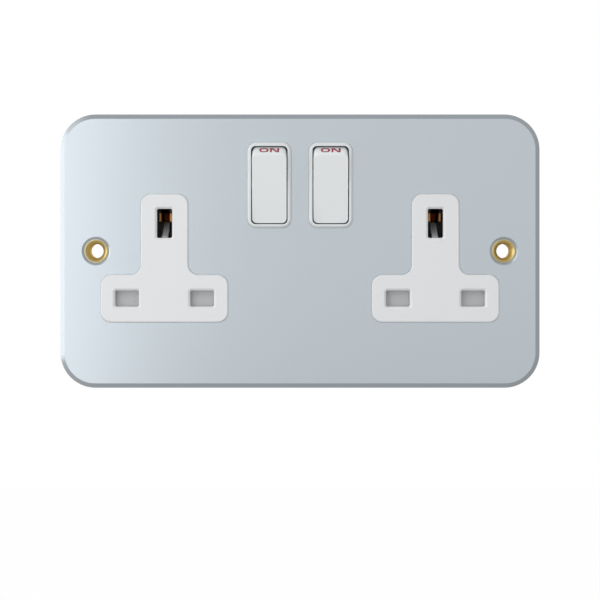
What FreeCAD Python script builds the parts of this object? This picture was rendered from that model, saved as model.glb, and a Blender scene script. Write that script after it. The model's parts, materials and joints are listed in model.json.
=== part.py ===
import FreeCAD, Part
import math
import os
import re

import Sketcher
from FreeCAD import Placement, Rotation, Vector

# Twin switched 13 A socket outlet with a pressed steel front plate.
# X runs to the right, Y into the wall and Z up. The origin lies midway between the two fixing
# holes, in the wall plane on which the rim of the front plate rests. A "front" value is a
# distance forward of that plane, so a front of 7 is y = -7, and pieces in the wall are negative.

SIZES = {
    # Pressed front plate
    "plate_width": 142.0,
    "plate_height": 81.0,
    "plate_front": 7.0,
    "sheet": 1.0,
    "plate_corner": 10.4,
    "plate_bend": 1.4,
    # Fixing holes and their eyelets
    "fixing_pitch": 120.6,
    "dimple_radius": 4.25,
    "dimple_depth": 0.5,
    "eyelet_bore": 2.125,
    "eyelet_neck": 2.5,
    "eyelet_radius": 2.75,
    "eyelet_flange": 3.33,
    "eyelet_lip": 0.4,
    "eyelet_round": 0.28,
    "eyelet_fit": 0.08,
    "dimple_margin": 0.15,
    # Outlet faces
    "outlet_pitch": 80.14,
    "tee_stem": 14.0,
    "tee_width": 37.6,
    "tee_top": 16.85,
    "tee_shoulder": -7.0,
    "tee_bottom": -21.05,
    "tee_corner": 3.1,
    "tee_proud": 0.5,
    "tee_edge": 0.3,
    "tee_gap": 0.06,
    # Pin apertures
    "pin_pitch": 22.23,
    "earth_height": 8.2,
    "earth_slot_width": 4.55,
    "earth_slot_height": 8.65,
    "line_slot_width": 7.1,
    "line_slot_height": 4.8,
    "slot_bevel": 0.6,
    "slot_corner": 0.35,
    # Mouldings and rear housing
    "flange": 1.5,
    "joint_line": 18.0,
    "joint_gap": 0.1,
    "body_side_gap": 0.215,
    "body_foot_step": 6.5,
    "body_top_gap": 0.3,
    "body_shoulder": -5.6,
    "body_bottom": -24.5,
    "body_wall": 1.6,
    "body_depth": 18.0,
    "body_floor": 1.8,
    "body_corner": 1.6,
    "body_rear_edge": 0.8,
    # Switches
    "switch_pitch": 18.14,
    "switch_height": 19.5,
    "frame_width": 12.9,
    "frame_height": 25.2,
    "frame_wall": 1.05,
    "frame_gap": 0.06,
    "frame_corner": 2.7,
    "frame_proud": 1.0,
    "frame_edge": 0.5,
    "frame_skirt": 3.0,
    "rocker_side_gap": 0.3,
    "rocker_end_gap": 0.32,
    "rocker_tilt": 8.0,
    "rocker_pivot_depth": 3.5,
    "rocker_face": 4.0,
    "rocker_back": 1.5,
    "rocker_bevel": 1.45,
    "rocker_lip": 1.0,
    "rocker_wall": 1.2,
    "rocker_hub": 3.2,
    "rocker_corner": 1.4,
    "trunnion_radius": 1.2,
    "trunnion_length": 0.6,
    "trunnion_fit": 0.08,
    "post_width": 4.4,
    "post_length": 8.0,
    "plunger_radius": 1.4,
    "plunger_fit": 0.08,
    "plunger_tail": 4.5,
    "plunger_reach": 14.95,
    "plunger_cone": 2.4,
    "nose_tip": 0.45,
    "bore_floor": 1.0,
    # See-saw contacts
    "seesaw_distance": 15.2,
    "seesaw_bend": 15.0,
    "seesaw_ratio": 1.25,
    "seesaw_arm": 7.5,
    "seesaw_width": 4.0,
    "brass": 0.8,
    "knuckle": 1.3,
    "knuckle_fit": 0.06,
    "cradle_depth": 1.0,
    "cradle_width": 4.0,
    "tip_width": 2.6,
    "tip_depth": 0.6,
    "tip_gap": 0.05,
    # Shutters
    "shutter": 1.2,
    "shutter_gap": 0.2,
    "blade_width": 8.8,
    "blade_top": -11.3,
    "blade_bottom": -16.9,
    "bridge_height": 2.0,
    "arm_width": 5.0,
    "ramp_width": 1.75,
    "ramp_nose": 4.9,
    "ramp_tail": -3.5,
    "ramp_low": 4.1,
    "ramp_rise": 4.5,
    "shutter_travel": 4.8,
    "guide_width": 1.2,
    "guide_gap": 0.3,
    # Springs
    "wire": 0.4,
    "shutter_coil": 1.4,
    "shutter_turns": 4,
    "shutter_seat": 1.5,
    "plunger_coil": 1.1,
    "plunger_turns": 3,
    # Conductors
    "strip_width": 4.0,
    "jaw_leaf": 0.6,
    "jaw_width": 5.0,
    "jaw_gap": 3.4,
    "jaw_mouth": 0.8,
    "jaw_front": -0.5,
    "jaw_back": -13.0,
    "earth_jaw_gap": 0.6,
    "earth_jaw_shift": 1.0,
    "earth_jaw_low": 8.9,
    "earth_jaw_high": 11.8,
    "earth_jaw_flare": 1.8,
    "earth_jaw_lip": 0.2,
    "earth_strip_front": 3.0,
    "earth_strip_low": 12.8,
    "earth_strip_high": 18.0,
    "earth_bridge_low": 2.0,
    "earth_bridge_high": 6.0,
    "earth_bridge_end": 34.0,
    "earth_lug": 4.2,
    "neutral_rail": -20.5,
    "neutral_rail_width": 3.0,
    "feed_height": 27.0,
    # Terminals
    "terminal_width": 7.6,
    "terminal_height": 9.0,
    "terminal_front": -6.5,
    "terminal_low": 22.3,
    "wire_way": 4.0,
    "way_offset": 0.7,
    "terminal_web": 1.0,
    "wire_entry": 5.4,
    "live_terminal": 27.0,
    "earth_terminal_back": 13.5,
    "screw_radius": 2.0,
    "screw_fit": 0.08,
    "screw_setback": 4.0,
    "screw_sink": 0.2,
    "screw_slot": 0.8,
    "screw_slot_depth": 1.0,
    "screw_access": 5.8,
    # Housing screws
    "pillar": 4.8,
    "pillar_sink": 0.6,
    "pillar_low": -9.0,
    "pillar_high": 9.6,
    "fastener_radius": 1.1,
    "fastener_head": 2.0,
    "fastener_fit": 0.15,
    "fastener_bite": 0.9,
    "fastener_head_depth": 1.26,
}

document = FreeCAD.newDocument("TwinSocket")
sheet = document.addObject("Spreadsheet::Sheet", "Sizes")
for row, (alias, size) in enumerate(SIZES.items(), start=1):
    sheet.set(f"A{row}", alias)
    sheet.set(f"B{row}", str(size))
    sheet.setAlias(f"B{row}", alias)
document.recompute()

WORDS = re.compile(r"\b(" + "|".join(sorted(SIZES, key=len, reverse=True)) + r")\b")

# Fronts and heights that several pieces share, in terms of the sheet
PLATE_BACK = "(plate_front - sheet)"
FLANGE_BACK = f"({PLATE_BACK} - flange)"
FACE = "(plate_front + tee_proud)"
FRAME_FACE = "(plate_front + frame_proud)"
PIVOT = f"({FRAME_FACE} - rocker_pivot_depth)"
SEESAW = f"({PIVOT} - seesaw_distance)"
FLOOR = "(body_floor - body_depth)"
STRIP_TOP = f"({FLOOR} + brass)"
SHUTTER_FRONT = f"({FLANGE_BACK} - shutter_gap)"
SHUTTER_BACK = f"({SHUTTER_FRONT} - shutter)"
LINE_HEIGHT = "(earth_height - pin_pitch)"
OUTLET = "(outlet_pitch/2)"
BODY = f"({OUTLET} + pin_pitch/2 + strip_width/2 + body_side_gap + body_wall)"
FOOT = f"({BODY} + body_foot_step)"
TOP = "(switch_height + frame_height/2 + body_top_gap + body_wall)"
SWITCH = "(switch_pitch/2)"
WINDOW_WIDTH = "(frame_width - 2*frame_wall)"
WINDOW_HEIGHT = "(frame_height - 2*frame_wall)"
ROCKER_WIDTH = f"({WINDOW_WIDTH} - 2*rocker_side_gap)"
ROCKER_REACH = f"({WINDOW_HEIGHT}/2 - rocker_end_gap)"
SIDES = (("left", -1), ("right", 1))
THROUGH = "(3*sheet)"
COIL_STEPS = 8
TINY = 1e-4

# How far within a limit an edge has to lie to be picked, and where an outline starts before it is tied
MARGIN = 0.1
START = 10.0

kept = {}


def bound(text):
    """Return an expression whose words are the sheet's cells."""
    return WORDS.sub(lambda found: "Sizes." + found.group(0), str(text))


def bind(item, name, text):
    """Bind a property of an object to an expression in the sheet's words."""
    item.setExpression(name, bound(text))


def place(item, at=("0", "0", "0"), turn=None):
    """Bind an object's place, and with turn its angle about the X axis."""
    item.Placement = Placement(Vector(0, 0, 0), Rotation(Vector(1, 0, 0), 1.0 if turn else 0.0))
    for axis, text in zip("xyz", at):
        bind(item, f"Placement.Base.{axis}", text)
    if turn:
        bind(item, "Placement.Rotation.Angle", turn)


def keep(item, label):
    """Name an object as a piece of the product."""
    item.Label = label
    kept[label] = item
    return item


def new_body(label, at=("0", "0", "0"), turn=None):
    """Start a body with its place."""
    body = document.addObject("PartDesign::Body", label)
    place(body, at, turn)
    return keep(body, label)


def new_sketch(body, name, role, offset="0"):
    """Attach a sketch to one of the body's own planes, moved along the plane's normal."""
    sketch = body.newObject("Sketcher::SketchObject", name)
    plane = next(item for item in body.Origin.OriginFeatures if item.Role == role)
    sketch.AttachmentSupport = [(plane, "")]
    sketch.MapMode = "FlatFace"
    bind(sketch, "AttachmentOffset.Base.z", offset)
    return sketch


def hold_point(sketch, index, point, across, up):
    """Tie a point of a sketch to two expressions."""
    for kind, text in (("DistanceX", across), ("DistanceY", up)):
        number = sketch.addConstraint(Sketcher.Constraint(kind, -1, 1, index, point, 1.0))
        bind(sketch, f"Constraints[{number}]", text)


def draw_polygon(sketch, points):
    """Draw a closed outline through points given as pairs of expressions."""
    first = sketch.GeometryCount
    count = len(points)
    turns = [2 * math.pi * step / count for step in range(count)]
    spots = [Vector(START * math.cos(turn), START * math.sin(turn), 0) for turn in turns]
    for step in range(count):
        sketch.addGeometry(Part.LineSegment(spots[step], spots[(step + 1) % count]), False)
    for step in range(count):
        link = Sketcher.Constraint("Coincident", first + step, 2, first + (step + 1) % count, 1)
        sketch.addConstraint(link)
    for step, (across, up) in enumerate(points):
        hold_point(sketch, first + step, 1, across, up)


def draw_rectangle(sketch, width, height, across="0", up="0"):
    """Draw a rectangle about its centre."""
    corners = ((-1, -1), (1, -1), (1, 1), (-1, 1))
    draw_polygon(sketch, [(f"{across} + ({width})*{i}/2", f"{up} + ({height})*{j}/2") for i, j in corners])


def draw_circle(sketch, radius, across="0", up="0"):
    """Draw a circle."""
    index = sketch.addGeometry(Part.Circle(Vector(0, 0, 0), Vector(0, 0, 1), 1.0), False)
    number = sketch.addConstraint(Sketcher.Constraint("Radius", index, 1.0))
    bind(sketch, f"Constraints[{number}]", radius)
    hold_point(sketch, index, 3, across, up)


def pad(body, sketch, length, name, both=False):
    """Pad a sketch along its plane's normal, or half each way."""
    feature = body.newObject("PartDesign::Pad", name)
    feature.Profile = sketch
    feature.Midplane = both
    bind(feature, "Length", length)
    return feature


def pocket(body, sketch, length, name, forward=False, both=False):
    """Cut a sketch into the body, against its plane's normal unless forward is set."""
    feature = body.newObject("PartDesign::Pocket", name)
    feature.Profile = sketch
    feature.Midplane = both
    feature.Reversed = forward
    bind(feature, "Length", length)
    return feature


def revolve(body, sketch, name):
    """Turn a sketch on the XY plane about the body's Y axis."""
    feature = body.newObject("PartDesign::Revolution", name)
    feature.Profile = sketch
    feature.ReferenceAxis = (sketch, ["V_Axis"])
    feature.Angle = 360
    return feature


def value(alias):
    """Read one size from the sheet."""
    return sheet.get(alias)


def chosen_edges(feature, wanted):
    """Name the edges of a feature that a test accepts."""
    document.recompute()
    return [f"Edge{number}" for number, edge in enumerate(feature.Shape.Edges, start=1) if wanted(edge)]


def runs_along(edge, axis):
    """Say whether an edge is straight and parallel to an axis, 0 for X, 1 for Y or 2 for Z."""
    if len(edge.Vertexes) != 2 or not isinstance(edge.Curve, Part.Line):
        return False
    step = edge.Vertexes[1].Point - edge.Vertexes[0].Point
    return all(abs(step[other]) < TINY for other in range(3) if other != axis)


def lies_at(edge, axis, level):
    """Say whether all of an edge lies at one level of an axis."""
    box = edge.BoundBox
    low = (box.XMin, box.YMin, box.ZMin)[axis]
    high = (box.XMax, box.YMax, box.ZMax)[axis]
    return abs(low - level) < TINY and abs(high - level) < TINY


def corner_of_length(length):
    """Return a test that accepts edges of one length along Y."""
    return lambda edge: runs_along(edge, 1) and abs(edge.Length - length) < TINY


def flat_outline(level):
    """Return a test that accepts edges that lie at one level of Y."""
    return lambda edge: lies_at(edge, 1, level)


def dress(body, kind, size, wanted, name):
    """Fillet or chamfer the edges of the body's tip that a test accepts."""
    tip = body.Tip
    names = chosen_edges(tip, wanted)
    if not names:
        raise RuntimeError(f"{body.Label}: no edge for {name}")
    feature = body.newObject(f"PartDesign::{kind}", name)
    feature.Base = (tip, names)
    bind(feature, "Radius" if kind == "Fillet" else "Size", size)
    return feature


def tee_points(grow="0", centre="0"):
    """Return the outline of an outlet face, grown by a margin, as pairs of expressions."""
    stem = f"(tee_stem/2 + {grow})"
    bar = f"(tee_width/2 + {grow})"
    top = f"tee_top + {grow}"
    shoulder = f"tee_shoulder + {grow}"
    bottom = f"tee_bottom - {grow}"
    half = [(bar, bottom), (bar, shoulder), (stem, shoulder), (stem, top)]
    right = [(f"{centre} + {across}", up) for across, up in half]
    left = [(f"{centre} - {across}", up) for across, up in reversed(half)]
    return right + left


def make_plate():
    """Pressed steel plate with its outlet openings, switch openings and fixing dimples."""
    body = new_body("front_plate")
    outline = new_sketch(body, "PlateOutline", "XZ_Plane")
    draw_rectangle(outline, "plate_width", "plate_height")
    pad(body, outline, "plate_front", "PlateBlock")
    hollow = new_sketch(body, "PlateHollow", "XZ_Plane")
    draw_rectangle(hollow, "plate_width - 2*sheet", "plate_height - 2*sheet")
    pocket(body, hollow, PLATE_BACK, "PlateInside", forward=True)
    front = value("plate_front")
    deep = front - value("sheet")
    dress(body, "Fillet", "plate_corner", corner_of_length(front), "PlateCorners")
    dress(body, "Fillet", "plate_corner - sheet", corner_of_length(deep), "InsideCorners")
    dress(body, "Chamfer", "plate_bend", flat_outline(-front), "PlateBend")
    dress(body, "Chamfer", "plate_bend - sheet*(2 - sqrt(2))", flat_outline(-deep), "InsideBend")

    tees = new_sketch(body, "OutletOpenings", "XZ_Plane", "plate_front")
    for _, side in SIDES:
        draw_polygon(tees, tee_points("tee_gap", f"{side}*{OUTLET}"))
    pocket(body, tees, THROUGH, "OutletCuts")
    inner_width = value("plate_width") / 2 - 2 * value("sheet")
    inner_height = value("plate_height") / 2 - 2 * value("sheet")

    def opening_corner(edge):
        """Accept the straight corners of an opening through the sheet."""
        point = edge.Vertexes[0].Point
        return runs_along(edge, 1) and abs(point.x) < inner_width and abs(point.z) < inner_height

    dress(body, "Fillet", "tee_corner", opening_corner, "OutletCorners")
    frames = new_sketch(body, "SwitchOpenings", "XZ_Plane", "plate_front")
    for _, side in SIDES:
        draw_rectangle(
            frames,
            "frame_width + 2*frame_gap",
            "frame_height + 2*frame_gap",
            f"{side}*{SWITCH}",
            "switch_height",
        )
    pocket(body, frames, THROUGH, "SwitchCuts")
    low = value("switch_height") - value("frame_height")
    dress(
        body,
        "Fillet",
        "frame_corner",
        lambda edge: opening_corner(edge)
        and edge.Vertexes[0].Point.z > low
        and abs(edge.Vertexes[0].Point.x) < value("switch_pitch"),
        "SwitchCorners",
    )
    holes = new_sketch(body, "FixingHoles", "XZ_Plane", "plate_front")
    for _, side in SIDES:
        draw_circle(holes, "eyelet_radius + eyelet_fit", f"{side}*fixing_pitch/2")
    pocket(body, holes, THROUGH, "FixingCuts")
    for name, side in SIDES:
        profile = new_sketch(body, f"Dimple_{name}", "XY_Plane")
        centre = f"{side}*fixing_pitch/2"
        draw_polygon(
            profile,
            [
                (centre, "-plate_front - sheet"),
                (f"{centre} + dimple_radius", "-plate_front - sheet"),
                (f"{centre} + dimple_radius", "-plate_front"),
                (f"{centre} + eyelet_flange + dimple_margin", "dimple_depth - plate_front"),
                (centre, "dimple_depth - plate_front"),
            ],
        )
        groove = body.newObject("PartDesign::Groove", f"DimpleCut_{name}")
        groove.Profile = profile
        groove.ReferenceAxis = (profile, ["Edge5"])
        groove.Angle = 360
        document.recompute()


def make_outlet(name, side):
    """White outlet moulding: flange, raised face, three apertures and the shutter's guides."""
    body = new_body(f"outlet_moulding_{name}")
    centre = f"{side}*{OUTLET}"
    outline = new_sketch(body, f"OutletFlange_{name}", "XZ_Plane", FLANGE_BACK)
    corners = (
        ("joint_line + joint_gap", "body_bottom"),
        (FOOT, "body_bottom"),
        (FOOT, "body_shoulder"),
        (BODY, "body_shoulder"),
        (BODY, TOP),
        ("joint_line + joint_gap", TOP),
    )
    draw_polygon(outline, [(f"{side}*({across})", up) for across, up in corners])
    pad(body, outline, "flange", f"OutletBase_{name}")
    joint = value("joint_line") + 2 * value("joint_gap")

    def outer_corner(edge):
        """Accept the flange's corners away from the joint with the switch moulding."""
        return runs_along(edge, 1) and abs(edge.Vertexes[0].Point.x) > joint

    dress(body, "Chamfer", "body_corner", outer_corner, f"OutletBaseCorners_{name}")
    face = new_sketch(body, f"OutletFace_{name}", "XZ_Plane", PLATE_BACK)
    draw_polygon(face, tee_points("0", centre))
    pad(body, face, "sheet + tee_proud", f"OutletTee_{name}")
    front = -value("plate_front") - value("tee_proud")
    dress(
        body,
        "Fillet",
        "tee_corner",
        lambda edge: runs_along(edge, 1) and abs(edge.BoundBox.YMin - front) < TINY,
        f"OutletTeeCorners_{name}",
    )
    dress(body, "Chamfer", "tee_edge", lambda edge: lies_at(edge, 1, front), f"OutletTeeEdge_{name}")

    slots = new_sketch(body, f"Apertures_{name}", "XZ_Plane", FACE)
    draw_rectangle(slots, "earth_slot_width", "earth_slot_height", centre, "earth_height")
    for hand in (-1, 1):
        across = f"{centre} + {hand}*pin_pitch/2"
        draw_rectangle(slots, "line_slot_width", "line_slot_height", across, LINE_HEIGHT)
    pocket(body, slots, "2*(flange + sheet + tee_proud)", f"ApertureCuts_{name}")
    reach = value("tee_width") / 2 - value("tee_corner") - MARGIN
    middle = side * value("outlet_pitch") / 2

    def slot_corner(edge):
        """Accept the corners of the apertures."""
        point = edge.Vertexes[0].Point
        inside = abs(point.x - middle) < reach and point.z > value("tee_bottom") + value("tee_corner")
        box = edge.BoundBox
        return runs_along(edge, 1) and inside and box.YLength > value("flange") + value("sheet")

    dress(body, "Chamfer", "slot_corner", slot_corner, f"ApertureCorners_{name}")
    lead = value("tee_edge") + MARGIN
    half_stem = value("tee_stem") / 2 - lead

    def slot_rim(edge):
        """Accept the front rims of the apertures."""
        box = edge.BoundBox
        if not lies_at(edge, 1, front):
            return False
        across = max(abs(box.XMin - middle), abs(box.XMax - middle))
        if box.ZMin > value("tee_shoulder"):
            return across < half_stem and box.ZMax < value("tee_top") - lead
        return (
            across < value("tee_width") / 2 - lead
            and box.ZMin > value("tee_bottom") + lead
            and box.ZMax < value("tee_shoulder") - lead
        )

    dress(body, "Chamfer", "slot_bevel", slot_rim, f"ApertureBevels_{name}")

    recess = new_sketch(body, f"RampRecess_{name}", "XZ_Plane", FLANGE_BACK)
    low = "(ramp_low - 2*sheet - shutter_travel)"
    high = "(earth_height + earth_slot_height/2 + slot_bevel)"
    draw_rectangle(recess, "arm_width + 2*guide_gap", f"{high} - {low}", centre, f"({high} + {low})/2")
    pocket(body, recess, "ramp_nose + shutter_gap - " + FLANGE_BACK, f"RampRecessCut_{name}", forward=True)

    guides = new_sketch(body, f"Guides_{name}", "XZ_Plane", f"{SHUTTER_BACK} - shutter_gap")
    guide_low = "(blade_top + sheet)"
    guide_high = f"({low} - sheet)"
    for hand in (-1, 1):
        draw_rectangle(
            guides,
            "guide_width",
            f"{guide_high} - {guide_low}",
            f"{centre} + {hand}*(arm_width/2 + guide_gap + guide_width/2)",
            f"({guide_high} + {guide_low})/2",
        )
    pad(body, guides, "shutter + 2*shutter_gap", f"GuideRails_{name}")

    pilots = new_sketch(body, f"Pilots_{name}", "XZ_Plane", FLANGE_BACK)
    for across, up in pillar_places():
        if across[1] == side:
            draw_circle(pilots, "fastener_radius", across[0], up)
    pocket(body, pilots, "fastener_bite", f"PilotHoles_{name}", forward=True)


def pillar_places():
    """List the housing pillars as (X expression, side) and Z expression."""
    inner = "(joint_line + joint_gap + pillar/2)"
    outer = f"({FOOT} - body_wall + pillar_sink - pillar/2)"
    places = []
    for _, side in SIDES:
        places.append(((f"{side}*{inner}", side), "pillar_high"))
        places.append(((f"{side}*{outer}", side), "pillar_low"))
    return places


def make_switch_moulding():
    """White switch moulding: a flange with two rounded collars that carry the rockers."""
    body = new_body("switch_moulding")
    outline = new_sketch(body, "SwitchFlange", "XZ_Plane", FLANGE_BACK)
    draw_rectangle(
        outline, "2*(joint_line - joint_gap)", f"{TOP} - body_bottom", "0", f"({TOP} + body_bottom)/2"
    )
    pad(body, outline, "flange", "SwitchBase")
    collars = new_sketch(body, "Collars", "XZ_Plane", f"{FLANGE_BACK} - frame_skirt")
    for _, side in SIDES:
        draw_rectangle(collars, "frame_width", "frame_height", f"{side}*{SWITCH}", "switch_height")
    pad(body, collars, f"{FRAME_FACE} - {FLANGE_BACK} + frame_skirt", "CollarWalls")
    limit = value("joint_line") - value("joint_gap") - MARGIN
    dress(
        body,
        "Fillet",
        "frame_corner",
        lambda edge: runs_along(edge, 1) and abs(edge.Vertexes[0].Point.x) < limit,
        "CollarCorners",
    )
    windows = new_sketch(body, "Windows", "XZ_Plane", FRAME_FACE)
    for _, side in SIDES:
        draw_rectangle(windows, WINDOW_WIDTH, WINDOW_HEIGHT, f"{side}*{SWITCH}", "switch_height")
    pocket(body, windows, f"{FRAME_FACE} - {FLANGE_BACK} + 2*frame_skirt", "WindowCuts")
    depth = value("frame_proud") + value("sheet") + value("flange") + value("frame_skirt")
    dress(
        body,
        "Fillet",
        "rocker_corner",
        lambda edge: runs_along(edge, 1) and edge.BoundBox.YLength > depth - MARGIN,
        "WindowCorners",
    )
    front = -value("plate_front") - value("frame_proud")
    dress(body, "Chamfer", "frame_edge", collar_rim(front), "CollarRim")
    bearings = new_sketch(body, "Bearings", "YZ_Plane")
    draw_circle(bearings, "trunnion_radius + trunnion_fit", f"-{PIVOT}", "switch_height")
    pocket(body, bearings, "switch_pitch + frame_width - frame_wall/2", "BearingCuts", both=True)
    mouths = new_sketch(body, "BearingMouths", "YZ_Plane")
    rear = f"({FLANGE_BACK} - 2*frame_skirt)"
    bore = "2*(trunnion_radius + trunnion_fit)"
    draw_rectangle(mouths, f"{PIVOT} - {rear}", bore, f"-({PIVOT} + {rear})/2", "switch_height")
    pocket(body, mouths, "switch_pitch + frame_width - frame_wall/2", "BearingMouthCuts", both=True)


def collar_rim(front):
    """Return a test that accepts the outer edges of the collars' faces."""
    half = value("frame_width") / 2 - value("frame_wall") / 2
    tall = value("frame_height") / 2 - value("frame_wall") / 2
    centre = value("switch_pitch") / 2

    def accept(edge):
        """Accept an edge on the face that lies outside the middle of the collar's wall."""
        box = edge.BoundBox
        across = abs(abs((box.XMin + box.XMax) / 2) - centre)
        up = abs((box.ZMin + box.ZMax) / 2 - value("switch_height"))
        return lies_at(edge, 1, front) and (across > half or up > tall)

    return accept


def make_rocker(name, side):
    """Rocker: a hollow cap with a bevelled top, a plunger post and two trunnions."""
    body = new_body(f"rocker_{name}", (f"{side}*{SWITCH}", f"-{PIVOT}", "switch_height"), "rocker_tilt")
    outline = new_sketch(body, f"RockerOutline_{name}", "XZ_Plane", "-rocker_back")
    draw_rectangle(outline, ROCKER_WIDTH, f"2*{ROCKER_REACH}")
    pad(body, outline, "rocker_face + rocker_back", f"RockerBlock_{name}")
    ends = new_sketch(body, f"RockerEnds_{name}", "YZ_Plane")
    shoulder = f"({ROCKER_REACH} - rocker_face*sin(rocker_tilt))/cos(rocker_tilt)"
    for sign, corner, lip in (("", f"{ROCKER_REACH} - rocker_bevel", "-rocker_lip"), ("-", shoulder, "0")):
        draw_polygon(
            ends,
            [
                ("-rocker_face", f"{sign}({corner})"),
                (lip, f"{sign}{ROCKER_REACH}"),
                (lip, f"{sign}2*{ROCKER_REACH}"),
                ("-2*rocker_face", f"{sign}2*{ROCKER_REACH}"),
                ("-2*rocker_face", f"{sign}({corner})"),
            ],
        )
    pocket(body, ends, "2*frame_width", f"RockerBevels_{name}", both=True)
    window = value("frame_width") - 2 * value("frame_wall") - 2 * value("rocker_side_gap")

    def end_edge(edge):
        """Accept the edges between the rocker's sides and its ends."""
        box = edge.BoundBox
        outermost = box.XLength < TINY and abs(abs(box.XMin) - window / 2) < TINY
        return outermost and not runs_along(edge, 2)

    dress(body, "Fillet", "rocker_corner", end_edge, f"RockerCorners_{name}")
    hollow = new_sketch(body, f"RockerHollow_{name}", "XZ_Plane", "-rocker_back")
    inner = f"({ROCKER_REACH} - rocker_bevel - rocker_wall)"
    for hand in (-1, 1):
        draw_rectangle(
            hollow,
            f"{ROCKER_WIDTH} - 2*rocker_wall",
            f"{inner} - rocker_hub",
            "0",
            f"{hand}*({inner} + rocker_hub)/2",
        )
    pocket(body, hollow, "rocker_face + rocker_back - rocker_wall", f"RockerHollows_{name}", forward=True)
    post = new_sketch(body, f"RockerPost_{name}", "XZ_Plane", "-post_length")
    draw_rectangle(post, "post_width", "post_width")
    pad(body, post, "post_length", f"RockerPostPad_{name}")
    bore = new_sketch(body, f"PlungerBore_{name}", "XZ_Plane", "-post_length")
    draw_circle(bore, "plunger_radius + plunger_fit")
    pocket(body, bore, "post_length - bore_floor", f"PlungerBoreCut_{name}", forward=True)
    trunnion = new_sketch(body, f"Trunnion_{name}", "YZ_Plane")
    draw_circle(trunnion, "trunnion_radius")
    pad(body, trunnion, f"{ROCKER_WIDTH} + 2*trunnion_length", f"Trunnions_{name}", both=True)


def make_plunger(name, side):
    """Sprung plunger that slides in the rocker's post, with a tapered nose."""
    body = new_body(f"plunger_{name}", (f"{side}*{SWITCH}", f"-{PIVOT}", "switch_height"), "rocker_tilt")
    profile = new_sketch(body, f"PlungerProfile_{name}", "XY_Plane")
    draw_polygon(
        profile,
        [
            ("0", "plunger_tail"),
            ("plunger_radius", "plunger_tail"),
            ("plunger_radius", "plunger_reach - plunger_cone"),
            ("nose_tip", "plunger_reach"),
            ("0", "plunger_reach"),
        ],
    )
    revolve(body, profile, f"PlungerTurned_{name}")


def make_seesaw(name, side):
    """See-saw contact: a bent strip with a knuckle behind its bend and a tip on its upper arm."""
    turn = "-rocker_tilt*seesaw_ratio"
    body = new_body(f"seesaw_{name}", (f"{side}*{SWITCH}", f"-{SEESAW}", "switch_height"), turn)
    strip = new_sketch(body, f"SeesawStrip_{name}", "YZ_Plane")
    tip = ("-seesaw_arm*sin(seesaw_bend)", "seesaw_arm*cos(seesaw_bend)")
    back = (f"{tip[0]} + brass*cos(seesaw_bend)", f"{tip[1]} + brass*sin(seesaw_bend)")
    heel = "brass/cos(seesaw_bend)"
    draw_polygon(
        strip,
        [("0", "0"), (tip[0], f"-{tip[1]}"), (back[0], f"-({back[1]})"), (heel, "0"), back, tip],
    )
    pad(body, strip, "seesaw_width", f"SeesawArms_{name}", both=True)
    knuckle = new_sketch(body, f"SeesawKnuckle_{name}", "YZ_Plane")
    draw_circle(knuckle, "knuckle")
    pad(body, knuckle, "seesaw_width", f"SeesawRound_{name}", both=True)
    wedge = new_sketch(body, f"SeesawWedge_{name}", "YZ_Plane")
    far = ("-2*knuckle", "2*knuckle/tan(seesaw_bend)")
    draw_polygon(wedge, [("0", "0"), (far[0], f"-({far[1]})"), far])
    pocket(body, wedge, "2*seesaw_width", f"SeesawFront_{name}", both=True)


def make_tip(label, at, turn):
    """Silver contact tip: a low square pad on the back or front of a strip."""
    body = new_body(label, at, turn)
    outline = new_sketch(body, f"{label}_outline", "XY_Plane")
    draw_rectangle(outline, "tip_width", "tip_width")
    pad(body, outline, "tip_depth", f"{label}_pad")


def make_tips(name, side):
    """Moving tip on the see-saw's upper arm and fixed tip on the feed bar."""
    across = f"{side}*{SWITCH}"
    lean = "(seesaw_bend - rocker_tilt*seesaw_ratio)"
    reach = "(seesaw_arm - tip_width/2)"
    back = f"(brass*cos{lean} - {reach}*sin{lean} - {SEESAW})"
    up = f"(switch_height + {reach}*cos{lean} + brass*sin{lean})"
    make_tip(f"moving_tip_{name}", (across, back, up), f"{lean} - 90")
    fixed_up = f"({up} + tip_depth*sin{lean})"
    make_tip(f"fixed_tip_{name}", (across, f"-{feed_front()}", fixed_up), "90")


def feed_front():
    """Return the front of the live feed bar, just behind the closed moving tips."""
    lean = "(seesaw_bend - rocker_tilt*seesaw_ratio)"
    depth = f"(brass + tip_depth)*cos{lean} - (seesaw_arm - tip_width)*sin{lean}"
    return f"({SEESAW} - ({depth}) - tip_gap - tip_depth)"


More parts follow.
